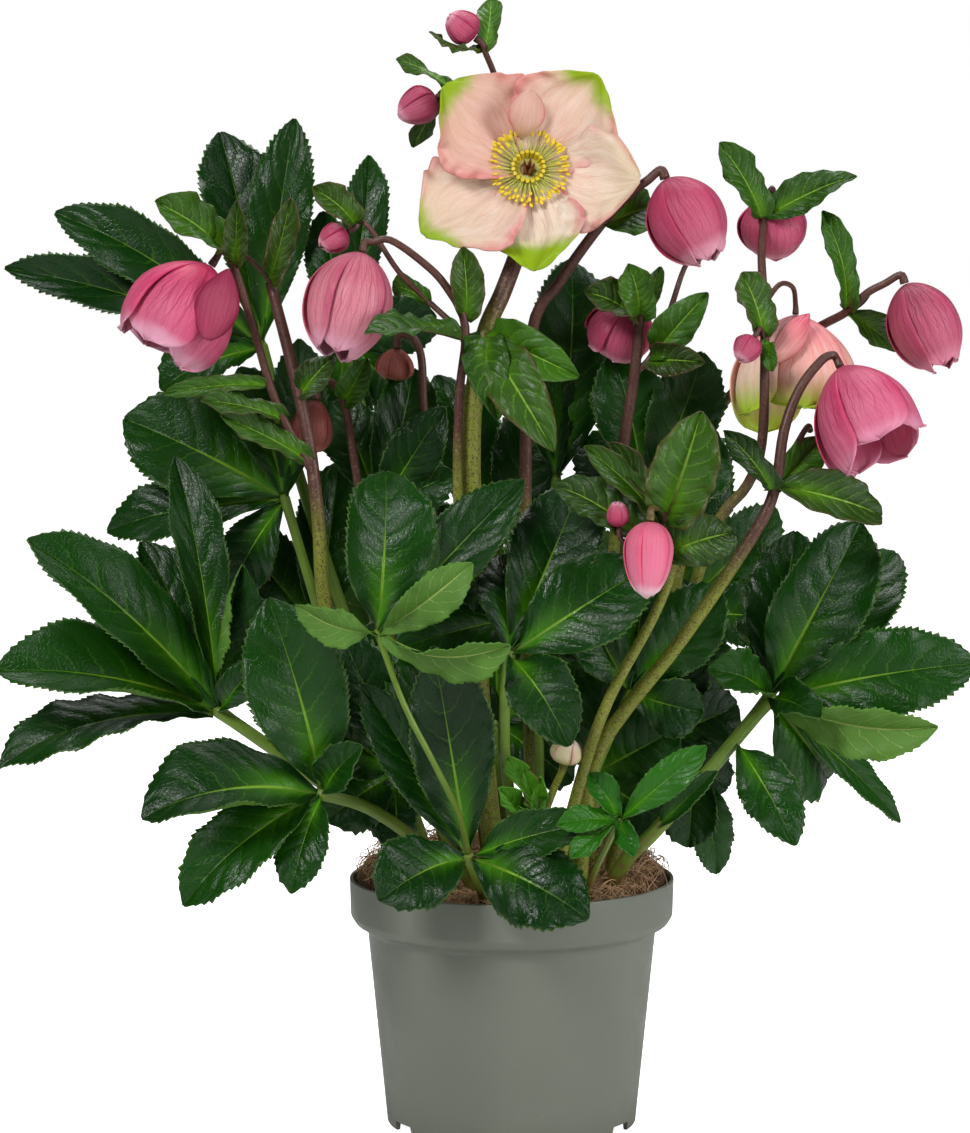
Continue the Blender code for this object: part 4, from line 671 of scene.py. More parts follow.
class Nodes:
    """A node tree with short words for the nodes that every kind of tree here uses."""

    def __init__(self, tree):
        self.tree = tree

    def node(self, kind, inputs=None, **settings):
        """A new node; each input is either set to a value or linked to another node."""
        made = self.tree.nodes.new(kind)
        for label, value in settings.items():
            setattr(made, label, value)
        for label, value in (inputs or {}).items():
            if isinstance(value, bpy.types.NodeSocket):
                self.tree.links.new(value, made.inputs[label])
            else:
                made.inputs[label].default_value = value
        return made

    def math(self, operation, *values):
        return self.node("ShaderNodeMath", dict(enumerate(values)), operation=operation).outputs[0]

    def times(self, result, *factors):
        for factor in factors:
            result = self.math("MULTIPLY", result, factor)
        return result

    def plus(self, first, second):
        return self.math("ADD", first, second)

    def scaled(self, value, factor, offset):
        return self.math("MULTIPLY_ADD", value, factor, offset)

    def combine(self, x, y, z):
        return self.node("ShaderNodeCombineXYZ", {0: x, 1: y, 2: z}).outputs[0]

    def split(self, vector):
        return self.node("ShaderNodeSeparateXYZ", {0: vector}).outputs

    def span(self, value, low, high):
        """Low where the value is 0 and high where it is 1, in a straight line between."""
        inputs = {"Value": value, "To Min": low, "To Max": high}
        return self.node("ShaderNodeMapRange", inputs).outputs[0]


class Tree(Nodes):
    """A material's tree, with words for patterns and colours."""

    def __init__(self, name, **sockets):
        self.look = bpy.data.materials.new(name)
        self.look.use_nodes = True
        super().__init__(self.look.node_tree)
        self.shader = self.tree.nodes["Principled BSDF"]
        for label, value in sockets.items():
            self.shader.inputs[label.replace("_", " ")].default_value = value

    def mix(self, share, first, second):
        inputs = {0: share, 6: first, 7: second}
        return self.node("ShaderNodeMix", inputs, data_type="RGBA").outputs[2]

    def layers(self, base, *steps):
        """Colours laid over a base one after another, each with its own share."""
        for share, colour in steps:
            base = self.mix(share, base, colour)
        return base

    def band(self, value, low, high, start=0.0, end=1.0):
        """A smooth step from start at low to end at high."""
        inputs = {"Value": value, "From Min": low, "From Max": high, "To Min": start, "To Max": end}
        return self.node("ShaderNodeMapRange", inputs, interpolation_type="SMOOTHSTEP").outputs[0]

    def patchy(self, noise, low, high):
        """A roughness that wanders between two values with a noise."""
        return self.band(noise, 0.3, 0.7, low, high)

    def noise(self, scale, detail=3.0, rough=0.55, vector=None):
        inputs = {"Scale": scale, "Detail": detail, "Roughness": rough, "Vector": vector or self.place()}
        return self.node("ShaderNodeTexNoise", inputs).outputs[0]

    def place(self):
        return self.node("ShaderNodeTexCoord").outputs["Object"]

    def uv(self):
        """The two coordinates of the piece's own map: along it and across it."""
        return self.split(self.node("ShaderNodeUVMap", uv_map=UV_NAME).outputs[0])[:2]

    def cells(self, scale, feature):
        inputs = {"Vector": self.place(), "Scale": scale}
        return self.node("ShaderNodeTexVoronoi", inputs, feature=feature).outputs["Distance"]

    def net(self, scale):
        """The walls between crowded cells, as in a leaf's finest veins."""
        return self.band(self.cells(scale, "DISTANCE_TO_EDGE"), 0.0, NET_WIDTH, 1.0, 0.0)

    def value(self, label):
        return self.node("ShaderNodeAttribute", attribute_name=label).outputs["Fac"]

    def finish(self, colour, rough, height, strength):
        """Send a colour, a roughness and a bump to the shader."""
        inputs = {"Height": height, "Strength": strength, "Distance": BUMP_DEPTH}
        bump = self.node("ShaderNodeBump", inputs).outputs[0]
        for label, value in (("Base Color", colour), ("Roughness", rough), ("Normal", bump)):
            self.tree.links.new(value, self.shader.inputs[label])
        return self.look


def rgb(red, green, blue):
    """A colour as it is read off a screen, from 0 to 255, turned into linear light."""
    return tuple((c / 255 / 12.92 if c <= 10 else ((c / 255 + 0.055) / 1.055) ** 2.4)
                 for c in (red, green, blue)) + (1.0,)


def plain_look(name, first, second, scale=300.0, rough=0.5):
    """A finish whose colour wanders between two tones."""
    tree = Tree(name)
    cloud = tree.noise(scale)
    colour = tree.mix(cloud, first, second)
    roughness = tree.patchy(cloud, rough - ROUGH_SPREAD, rough + ROUGH_SPREAD)
    return tree.finish(colour, roughness, cloud, PLAIN_BUMP)


print("material helpers ready")

# %% [markdown]
# ## Leaf finish
# A hellebore leaf is leathery: almost black-green, with a waxy gloss that mirrors the sky, a
# yellow-green midrib that fades towards the tip, and side veins that leave it at a slant and bend
# forwards. The veins could be painted from a picture. Here they are one formula on the leaf's own
# map, and the mesh uses the same formula for its puckers, so colour and relief agree.

# %% Vein layout, shared by mesh and material
VEIN_PAIRS = 8.0
VEIN_SWEEP = 0.24
VEIN_BEND = 1.3


def vein_phase(t, s):
    """Counts side veins: a whole number lies on a vein, for t along the leaf and s across it."""
    return VEIN_PAIRS * (t - VEIN_SWEEP * np.abs(s) ** VEIN_BEND) + 0.5


def vein_nodes(tree, along, across):
    """The same count as nodes, with how far a point lies from the nearest side vein."""
    half = tree.math("ABSOLUTE", tree.scaled(across, 2.0, -1.0))
    sweep = tree.times(tree.math("POWER", half, VEIN_BEND), VEIN_SWEEP)
    phase = tree.scaled(tree.math("SUBTRACT", along, sweep), VEIN_PAIRS, 0.5)
    wobble = tree.noise(9.0, 2.0, vector=tree.combine(along, half, tree.value("tint")))
    phase = tree.plus(phase, tree.scaled(wobble, 0.5, -0.25))
    return half, tree.math("PINGPONG", phase, 0.5)


print("vein pairs", VEIN_PAIRS)

# %% Upper and lower leaf surface
STALK_RIBS = 6


def leaf_top_look():
    """The waxy upper side: dark, with lighter veins, a bright foot and a pale margin."""
    tree = Tree("leaf_top", Specular_IOR_Level=0.25)
    along, across = tree.uv()
    half, gap = vein_nodes(tree, along, across)
    tint = tree.value("tint")
    net = tree.net(430.0)
    old = tree.mix(tree.scaled(tint, 0.6, tree.times(tree.noise(38.0, 2.0), 0.4)),
                   rgb(2, 24, 8), rgb(14, 62, 2))
    fresh = tree.mix(tint, rgb(18, 92, 6), rgb(56, 124, 16))
    glow = tree.times(tree.band(along, 0.0, 0.6, 1.0, 0.0), tree.band(half, 0.0, 0.7, 0.9, 0.0))
    side_line = tree.times(tree.band(gap, 0.0, 0.07, 1.0, 0.0), tree.band(half, 0.1, 0.8, 0.5, 0.05),
                           tree.band(along, 0.1, 0.85, 1.0, 0.35))
    width = tree.band(along, 0.0, 0.75, 0.1, 0.016)
    middle = tree.times(tree.band(tree.math("DIVIDE", half, width), 0.2, 1.0, 1.0, 0.0),
                        tree.band(along, 0.15, 0.95, 1.0, 0.25))
    base = tree.layers(
        tree.mix(tree.value("age"), old, fresh),
        (tree.times(net, 0.06), rgb(60, 110, 30)),
        (tree.band(tree.noise(420.0, 4.0), 0.45, 0.75, 0.0, 0.05), rgb(62, 96, 40)),
        (glow, rgb(76, 144, 12)),
        (side_line, rgb(84, 138, 34)),
        (middle, rgb(122, 166, 40)),
        (tree.band(half, 0.955, 1.0, 0.0, 0.5), rgb(84, 116, 48)))
    relief = tree.plus(tree.band(gap, 0.0, 0.35, 0.0, 1.4), tree.times(net, -0.35))
    relief = tree.plus(relief, tree.times(tree.noise(110.0, 2.0), 0.8))
    return tree.finish(base, tree.patchy(tree.noise(60.0), 0.25, 0.42), relief, 0.32)


def leaf_under_look():
    """The matt, light underside with raised veins."""
    tree = Tree("leaf_underside", Specular_IOR_Level=0.3)
    along, across = tree.uv()
    half, gap = vein_nodes(tree, along, across)
    line = tree.times(tree.band(gap, 0.0, 0.06, 0.45, 0.0), tree.band(half, 0.8, 1.0, 1.0, 0.0))
    base = tree.layers(
        tree.mix(tree.value("age"), rgb(80, 124, 36), rgb(110, 154, 50)),
        (tree.times(tree.noise(90.0), 0.5), rgb(72, 104, 52)),
        (line, rgb(150, 172, 104)),
        (tree.band(half, 0.02, 0.07, 0.8, 0.0), rgb(156, 178, 92)))
    relief = tree.plus(tree.band(gap, 0.0, 0.1, 1.0, 0.0), tree.noise(300.0))
    return tree.finish(base, tree.patchy(tree.noise(200.0, 2.0), 0.5, 0.65), relief, 0.35)


def stalk_look():
    """Leaf stalks are smooth, ribbed and yellow-green, flushed with red-brown near the soil."""
    tree = Tree("leaf_stalk", Specular_IOR_Level=0.4)
    flush = tree.times(tree.band(tree.value("age"), 0.0, 0.45, 0.65, 0.0),
                       tree.band(tree.noise(160.0), 0.4, 0.6))
    base = tree.mix(tree.noise(70.0, 2.0), rgb(70, 98, 26), rgb(112, 140, 44))
    base = tree.mix(flush, base, rgb(110, 62, 42))
    ribs = tree.math("SINE", tree.times(tree.uv()[1], FULL_TURN * STALK_RIBS))
    relief = tree.plus(tree.times(ribs, 0.5), tree.noise(400.0))
    return tree.finish(base, tree.patchy(tree.noise(90.0), 0.36, 0.5), relief, 0.3)


LEAF_LOOKS = [leaf_top_look(), leaf_under_look(), stalk_look()]
print("leaf finishes:", [look.name for look in LEAF_LOOKS])

# %% [markdown]
# ## Leaflets
# A leaflet widens from a narrow foot to two thirds of its length and ends in a short point. Its
# margin has forward-pointing teeth about three millimetres apart. The rows of the grid are placed
# so that each tooth has a long outer edge and a short step back, and the blade is folded a little
# along its midrib, puckered between its veins and waved at its margin.

# %% Shape of a leaflet
FAN_ROLL = 0.16
TWIST = 0.3
TILT = 0.08
ARCH_PLACE = 0.45
STALK_HALF = 1.0
TIP_HALF = 0.25
LEAF_THICKNESS = 0.6
SOFT_THICKNESS = 0.5
FEWEST_TEETH = 7
TOOTH_PITCH = 3.3
TOOTH_DEPTH = 1.3
TOOTH_BACK = 0.3
TOOTH_RANGE = (0.5, 1.3)
SOFT_TOOTH = 0.15
MORE_FOLD = 0.16
LEAST_WAVE = 0.25
WAVE_RANGE = (1.6, 3.6)
WAVE_TURNS = 1.25
WAVE_SHIFT = 0.4
RUFFLE = 1.4
SOFT_RUFFLE = 2.4
RUFFLE_TURNS = (3.5, 5.5)
PUCKER = 0.7
MIDRIB_GROOVE = 0.7
GROOVE_WIDTH = 1.3
MIDRIB_SHARE = 0.86
MIDRIB_ROWS = 3
MIDRIB_SUNK = 0.45
SOFT_MIDRIB_SUNK = 0.35
MIDRIB_RADII = (1.25, 0.3)
MIDRIB_SIDES = 6
MIDRIB_AGE = 0.9
DROOP_RANGE = (0.2, 1.8)
CURL_FROM = 0.3
CURL_MOST = 1.5
CURL_PLACE = (0.4, 0.75)
CURL_SPAN = 0.38
HALF_COLUMNS = [0, 0.05, 0.2, 0.42, 0.6, 0.77, 0.92, 1]
LEAF_COLUMNS = np.array([-s for s in HALF_COLUMNS[:0:-1]] + HALF_COLUMNS)


def outline(t, shape):
    """Half width of a blade at t, as a share of its greatest half width."""
    rise, fall = shape
    widest = rise / (rise + fall)
    return (t / widest) ** rise * ((1 - t) / (1 - widest)) ** fall


def spine(base, tip, arch, up, t):
    """The arched midline of a blade: its points, directions, and the way its upper side faces."""
    base, tip = np.asarray(base, float), np.asarray(tip, float)
    chord = unit(tip - base)
    up = unit(up - chord * (up @ chord))
    control = base + (tip - base) * ARCH_PLACE + up * 2 * arch
    t = t[:, None]
    points = base * (1 - t) ** 2 + control * 2 * t * (1 - t) + tip * t ** 2
    tangent = unit((control - base) * (1 - t) + (tip - control) * t)
    return points, tangent, unit(np.cross(np.cross(chord, up), tangent))


def margin_rows(length):
    """Where a blade's rows lie along it: at the point of each tooth and at the foot behind it."""
    teeth = max(FEWEST_TEETH, round(length / TOOTH_PITCH))
    steps = np.arange(teeth) / teeth
    return np.clip(np.sort(np.concatenate([steps, steps + (1 - TOOTH_BACK) / teeth, [1.0]])), 0.004, 0.997)


def tooth_depths(t, width, rng):
    """How far each row stands out at the margin: every second one does, less at the blade's ends."""
    depths = np.zeros(len(t))
    depths[1:-1:2] = TOOTH_DEPTH
    depths *= np.clip((t - 0.2) / 0.2, 0, 1) * np.clip((1 - t) * 12, 0.15, 1)
    return depths * np.clip(width / 34, 0.45, 1.1) * rng.uniform(*TOOTH_RANGE, len(t))


def curled(swing, rise, half, width, curl):
    """Bend the margins of a blade upwards like a scroll; curl is the angle at each margin."""
    run = np.clip(width - CURL_FROM, 0, 1) * half
    angle = curl * np.clip(width - CURL_FROM, 0, 1) / (1 - CURL_FROM)
    swing = swing - np.sign(swing) * run * (1 - np.sinc(angle / math.pi))
    return swing, rise + run * angle / 2 * np.sinc(angle / 2 / math.pi) ** 2


def leaflet(bundle, blade, base, face, rng, age, soft=False):
    """One veined leaflet with its raised midrib; a soft one has hardly any teeth."""
    tip = np.asarray(blade.tip, float)
    length = np.linalg.norm(tip - base)
    up = turned(np.asarray(blade.face or face, float), unit(tip - base), np.array(FAN_ROLL))
    t = margin_rows(length)
    points, tangent, lift = spine(base, tip, blade.arch, up, t)
    lift = turned(lift, tangent, rng.uniform(-TWIST, TWIST) * t + rng.uniform(-TILT, TILT))
    half = blade.width * blade.broad / 2 * outline(t, blade.shape)
    half = np.maximum(half, np.where(t < 0.5, STALK_HALF, TIP_HALF))[:, None]
    tooth = tooth_depths(t, blade.width, rng)[:, None] * (SOFT_TOOTH if soft else 1)
    t = t[:, None]
    s = LEAF_COLUMNS[None, :]
    width = np.abs(s)
    side = np.sign(s)
    edge = (width > 0.99) * tooth * side
    swing = s * half * math.cos(blade.fold) + edge
    wave = blade.wave * rng.uniform(*WAVE_RANGE) + LEAST_WAVE
    fold = blade.fold + rng.uniform(0.0, MORE_FOLD)
    phase = rng.uniform(-0.6, 0.6)
    ruffle = rng.uniform(*RUFFLE_TURNS)
    rise = math.sin(fold) * half * (1.25 * width - 0.45 * width ** 3)
    rise += wave * width ** 1.5 * np.sin(FULL_TURN * WAVE_TURNS * t - WAVE_SHIFT * math.pi * side)
    rise += ((SOFT_RUFFLE if soft else RUFFLE) * width ** 3 * np.clip(half / 14, 0, 1)
             * np.sin(FULL_TURN * ruffle * t + phase + 2.1 * side))
    bulge = np.abs(np.sin(math.pi * vein_phase(t, s))) - 0.6
    rise += PUCKER * bulge * np.sin(math.pi * np.clip(width, 0.05, 0.95)) * np.clip(half / 12, 0, 1)
    chance = CURL_MOST * rng.uniform(0, 1, 2) ** 2 * rng.choice([-0.6, 1], 2)
    left, right = blade.curl or chance
    window = np.exp(-((t - rng.uniform(*CURL_PLACE)) / CURL_SPAN) ** 2)
    swing, rise = curled(swing, rise, half, width, np.where(s < 0, left, right) * window)
    rise -= MIDRIB_GROOVE * np.exp(-(swing / GROOVE_WIDTH) ** 2) * np.clip(half / 6, 0, 1)
    rise -= (1.5 + 0.05 * length) * rng.uniform(*DROOP_RANGE) * t ** 5
    grid = beside(points, tangent, lift, swing, rise)
    grid += tangent[:, None] * (np.abs(edge) * 0.6)[..., None]
    slots = (1, 0) if blade.face and blade.face[2] < 0 else (0, 1)
    bundle.sheet(grid, surface_map(t, s), SOFT_THICKNESS if soft else LEAF_THICKNESS,
                 rng.uniform(0, 1), age, slots)
    midrib = grid[:, len(LEAF_COLUMNS) // 2] - lift * (SOFT_MIDRIB_SUNK if soft else MIDRIB_SUNK)
    midrib = midrib[:int(len(t) * MIDRIB_SHARE):MIDRIB_ROWS]
    radii = np.linspace(*MIDRIB_RADII, len(midrib)) * np.clip(blade.width / 36, 0.5, 1.1)
    bundle.tube(midrib, radii, MIDRIB_SIDES, MIDRIB_AGE)


print("teeth every", TOOTH_PITCH, "mm")

# %% [markdown]
# ## Leaves
# Each leaf rises from its own hole in the compost. The stalk thickens at the soil and at the hub,
# where the leaflets part, and one leaf forks low down and carries a second fan.

# %% Grow the leaves
STEM_BOTTOM = 100.0
SOIL_LINE = 128.0
STALK_SPREAD = 1.15
STALK_SIDES = 10
STALK_END = 0.6
STALK_FLUSH_RUN = 150.0
HUB_SWELL = 1.35
HUB_SHARPNESS = 18.0
LEAFLET_START = 0.7
FORK_SLIM = 0.62
LEAF_SEED = 100


def leaf_stalk(bundle, leaf, start):
    """The stalk as a smooth tube that swells at the hub."""
    if leaf.root:
        x, y = leaf.root
        path = smooth_path([(x, y, SOIL_LINE)] + leaf.via + [leaf.hub])
        path = np.concatenate([[(x, y, STEM_BOTTOM), (x, y, (STEM_BOTTOM + SOIL_LINE) / 2)], path])
    else:
        path = smooth_path([start] + leaf.via + [leaf.hub])
    path = np.concatenate([path, [path[-1] + unit(path[-1] - path[-2]) * leaf.stalk]])
    t = np.linspace(0, 1, len(path))
    swell = 1 + (HUB_SWELL - 1) * np.exp(-((1 - t) * HUB_SHARPNESS) ** 2)
    radii = leaf.stalk * (STALK_SPREAD + (1 - STALK_SPREAD) * t) * swell
    radii[-1] *= STALK_END
    ages = np.clip((path[:, 2] - SOIL_LINE) / STALK_FLUSH_RUN, 0, 1)
    bundle.tube(path, radii * (1.0 if leaf.root else FORK_SLIM), STALK_SIDES, ages)


def grow_leaf(bundle, leaf, rng, fresh, start=None):
    """The stalk, the leaflets and any fan that branches from a leaf."""
    leaf_stalk(bundle, leaf, start)
    for blade in leaf.leaflets:
        foot = np.asarray(blade.base or leaf.hub, float)
        if not blade.base:
            foot = foot + unit(np.asarray(blade.tip) - foot) * leaf.stalk * LEAFLET_START
        leaflet(bundle, blade, foot, leaf.face, rng, fresh)
    for branch in leaf.extras:
        grow_leaf(bundle, branch, rng, fresh, leaf.hub)


for number, (name, leaf) in enumerate(LEAVES.items()):
    bundle = Bundle()
    grow_leaf(bundle, leaf, np.random.default_rng(LEAF_SEED + number), leaf.fresh)
    bundle.piece(name + "_grown", LEAF_LOOKS, name)
print("leaves grown:", len(LEAVES))

# %% [markdown]
# ## Flower stems
# Flower stems are thicker and rounder than leaf stalks. Near the soil they are olive and closely
# speckled, and towards the bloom they turn purple-brown. The small leaves on them are softer and
# brighter than the big ones.


# %% Stem skin and stem leaves
def stem_look():
    """Olive below, purple-brown above, with dark dots and pale flecks."""
    tree = Tree("stem_skin", Specular_IOR_Level=0.4)
    age = tree.value("age")
    low = tree.mix(tree.noise(50.0), rgb(102, 114, 26), rgb(134, 142, 46))
    high = tree.mix(tree.noise(60.0), rgb(66, 36, 35), rgb(98, 64, 52))
    flush = tree.band(tree.plus(age, tree.scaled(tree.noise(25.0), 0.3, -0.15)), 0.28, 0.6)
    dots = tree.plus(tree.cells(900.0, "F1"), tree.times(tree.noise(300.0), 0.5))
    fleck = tree.times(tree.band(tree.noise(700.0, 2.0), 0.54, 0.68), tree.band(age, 0.3, 0.9, 0.55, 0.12))
    base = tree.layers(
        tree.mix(flush, low, high),
        (tree.times(tree.band(dots, 0.5, 0.68, 1.0, 0.0), 0.9), rgb(72, 34, 30)),
        (fleck, rgb(160, 140, 98)))
    return tree.finish(base, tree.patchy(tree.noise(120.0), 0.38, 0.55), tree.noise(500.0), 0.35)


def bract_look():
    """Stem leaves are softer than the big leaves, olive to yellow-green, some with a red margin."""
    tree = Tree("stem_leaf", Specular_IOR_Level=0.35)
    along, across = tree.uv()
    half, gap = vein_nodes(tree, along, across)
    tint = tree.value("tint")
    old = tree.mix(tint, rgb(10, 42, 3), rgb(34, 46, 8))
    fresh = tree.mix(tree.noise(80.0, 2.0), rgb(34, 100, 6), rgb(92, 152, 16))
    glow = tree.times(tree.band(along, 0.0, 0.65, 0.8, 0.0), tree.band(half, 0.0, 0.6, 1.0, 0.0))
    line = tree.times(tree.band(gap, 0.0, 0.09, 0.55, 0.0), tree.band(half, 0.3, 1.0, 1.0, 0.2))
    red = tree.times(tree.band(half, 0.8, 1.0), tree.band(tint, 0.3, 0.8), 0.5)
    base = tree.layers(
        tree.mix(tree.value("age"), old, fresh),
        (tree.times(tree.net(520.0), 0.08), rgb(104, 148, 50)),
        (glow, rgb(104, 162, 22)),
        (line, rgb(92, 146, 34)),
        (tree.band(half, 0.02, 0.07, 0.8, 0.0), rgb(132, 172, 54)),
        (red, rgb(96, 54, 44)))
    relief = tree.plus(tree.band(gap, 0.0, 0.35, 0.0, 1.4), tree.noise(140.0, 2.0))
    return tree.finish(base, tree.patchy(tree.noise(70.0), 0.34, 0.52), relief, 0.45)


STEM_LOOKS = [bract_look(), LEAF_LOOKS[1], stem_look()]
print("stem finish:", STEM_LOOKS[2].name)

# %% Grow the stems
FLUSH_SPAN = 140.0
SEAT_RUN = 5.0
SEAT_SWELL = 1.35
SEAT_SWELL_RUN = 4.0
STEM_SLIM = 0.92
STEM_TAPER = 0.75
STEM_SIDES = 12
STEM_SEED = 300
CURLED_FOLD = 0.6
CURLED_WAVE = 3.0
CURLED_GROWTH = [((8, -67, 156), (-9, -80, 170), 14), ((9, -67, 166), (-7, -84, 190), 13),
                 ((12, -68, 172), (14, -86, 196), 11), ((7, -68, 158), (16, -84, 172), 12),
                 ((10, -68, 176), (-2, -84, 206), 9)]
OPEN_SEAT = (8, -8, 497)
OPEN_AXIS = (0.03, -0.94, 0.33)


def stem_tube(bundle, points, start, end, bloom, flush):
    """One run of stem: tapered, square to the bloom it carries and swollen under it."""
    points = [np.asarray(p, float) for p in points]
    if bloom:
        seat, axis = OPEN_SEAT, OPEN_AXIS
        if bloom in BLOOMS:
            seat, axis = BLOOMS[bloom].seat, BLOOMS[bloom].axis
        seat = np.array(seat, float)
        points += [seat - unit(axis) * SEAT_RUN, seat]
    path = smooth_path(points)
    t = np.linspace(0, 1, len(path))
    radii = (start + (end - start) * t ** STEM_TAPER) * STEM_SLIM
    if bloom:
        left = np.cumsum(np.linalg.norm(np.diff(path, axis=0), axis=1)[::-1])[::-1]
        left = np.append(left, 0)
        radii = radii * (1 + (SEAT_SWELL - 1) * np.exp(-(left / SEAT_SWELL_RUN) ** 2))
    ages = np.clip(0.5 + (path[:, 2] - flush) / FLUSH_SPAN, 0, 1)
    bundle.tube(path, radii, STEM_SIDES, ages)


for number, (name, stem) in enumerate(STEMS.items()):
    rng = np.random.default_rng(STEM_SEED + number)
    bundle = Bundle()
    x, y, _ = stem.run[0]
    points = [(x, y, STEM_BOTTOM), (x, y, SOIL_LINE)] + stem.run[1:]
    stem_tube(bundle, points, *stem.radii, stem.bloom, stem.flush)
    for branch in stem.branches:
        stem_tube(bundle, *branch, stem.flush - FLUSH_SPAN / 2)
    for blade in stem.bracts:
        fresh = 1.0 if name == "stem_low" else rng.uniform(0.0, 0.5)
        leaflet(bundle, blade, blade.base, STEM_FACE, rng, fresh, True)
    if name == "stem_low":
        for base, tip, width in CURLED_GROWTH:
            blade = bract(base, tip, width, fold=CURLED_FOLD, wave=CURLED_WAVE)
            leaflet(bundle, blade, base, STEM_FACE, rng, 1.0, True)
    bundle.piece(name + "_grown", STEM_LOOKS, name)
print("stems grown:", len(STEMS))

# %% [markdown]
# ## Petal finish
# What look like petals are five sepals. They are matt and slightly translucent, with fine veins
# that run from foot to tip, a paler or darker margin, and sometimes a green tip. One tree draws
# them all, and each bloom brings its own five colours.

# %% Petal material
FLESH_RADIUS = (1.0, 0.45, 0.4)
# Colour of the painted highlight streaks on the sepals.
PAINTED_HIGHLIGHT = rgb(250, 240, 232)


def petal_veins(tree, along, across, cloud):
    """The share of vein colour: ribs, forks and threads that fade away from the foot."""
    side = tree.scaled(across, 2.0, -1.0)
    half = tree.math("ABSOLUTE", side)
    warp = tree.noise(4.0, 2.0, vector=tree.combine(along, across, tree.value("tint")))
    bend = tree.scaled(warp, 0.28, -0.14)
    bent = tree.plus(side, bend)
    ribs = tree.math("PINGPONG", tree.times(bent, 4.0), 0.5)
    forks = tree.math("SUBTRACT", tree.times(half, 7.5), tree.times(along, 4.5))
    forks = tree.math("PINGPONG", tree.plus(forks, tree.times(bend, 3.0)), 0.5)
    threads = tree.math("PINGPONG", tree.times(bent, 17.0), 0.5)
    lines = tree.math("MAXIMUM", tree.band(ribs, 0.0, 0.13, 1.0, 0.0), tree.band(forks, 0.0, 0.14, 0.8, 0.0))
    lines = tree.math("MAXIMUM", lines, tree.band(threads, 0.0, 0.35, 0.45, 0.0))
    fade = tree.times(tree.band(along, 0.35, 1.0, 1.0, 0.3), tree.band(half, 0.5, 1.0, 1.0, 0.45))
    return tree.times(lines, fade, tree.band(cloud, 0.3, 0.6, 0.5, 1.0))


def petal_look(name, colours, vein_share=0.85, tip_from=0.8, tip_span=0.16, foot_to=0.5,
               margin_from=0.5, painted_sheen=0.0, blush=None):
    """Five sepal colours and a painted sheen; the attribute age tells how far a sepal's tip colour reaches.
    """
    foot, body, margin, tip, vein = (rgb(*colour) for colour in colours)
    tree = Tree(name, Specular_IOR_Level=0.25, Subsurface_Weight=0.15, Subsurface_Scale=0.003,
                Subsurface_Radius=FLESH_RADIUS)
    along, across = tree.uv()
    side = tree.scaled(across, 2.0, -1.0)
    half = tree.math("ABSOLUTE", side)
    tint = tree.value("tint")
    age = tree.value("age")
    cloud = tree.noise(55.0)
    shift = tree.scaled(cloud, 0.6, -0.3)
    drift = tree.plus(along, tree.times(shift, 0.5))
    lines = petal_veins(tree, along, across, cloud)
    spine_line = tree.times(tree.band(half, 0.0, 0.16, 0.5, 0.0), tree.band(along, 0.3, 0.9, 1.0, 0.0))
    # Painted highlight: pale streaks from this noise are laid into the sepal colour below.
    light = tree.noise(5.0, 0.0, vector=tree.combine(along, tree.times(side, 1.6), tint))
    base = tree.layers(
        foot,
        (tree.band(drift, 0.0, foot_to), body),
        (tree.band(tree.plus(half, shift), margin_from, 1.05), margin),
        (tree.band(drift, 0.45, 1.0, 0.0, 0.42), tree.mix(0.5, body, tip)),
        (tree.times(tree.math("MAXIMUM", lines, spine_line), vein_share), vein),
        (tree.times(tree.band(light, 0.48, 0.7), painted_sheen), PAINTED_HIGHLIGHT))
    speckle = tree.band(tree.noise(1100.0, 2.0), 0.45, 0.7, 0.0, 0.25)
    end = tree.plus(along, tree.scaled(shift, 0.35, tree.scaled(age, 0.22, -0.22)))
    green = tree.band(tree.plus(end, tree.times(half, 0.03)), tip_from, tip_from + tip_span)
    base = tree.layers(
        base,
        (speckle, tree.mix(0.5, base, vein)),
        (tree.times(tint, 0.5), rgb(*blush) if blush else foot),
        (tree.times(green, tree.math("MINIMUM", age, 1.0)), tip))
    relief = tree.plus(tree.times(lines, -0.6), tree.times(cloud, 1.4))
    return tree.finish(base, tree.patchy(cloud, 0.36, 0.5), relief, 0.5)


print("petal material ready")

# %% [markdown]
# ## Nodding bells and buds
# The sepals of a bell wrap round each other, each with one edge outside and the other tucked
# under its neighbour. A bell could be one turned cup, but then it has no edges to catch the light,
# so each sepal is its own curved sheet on the cup's profile.

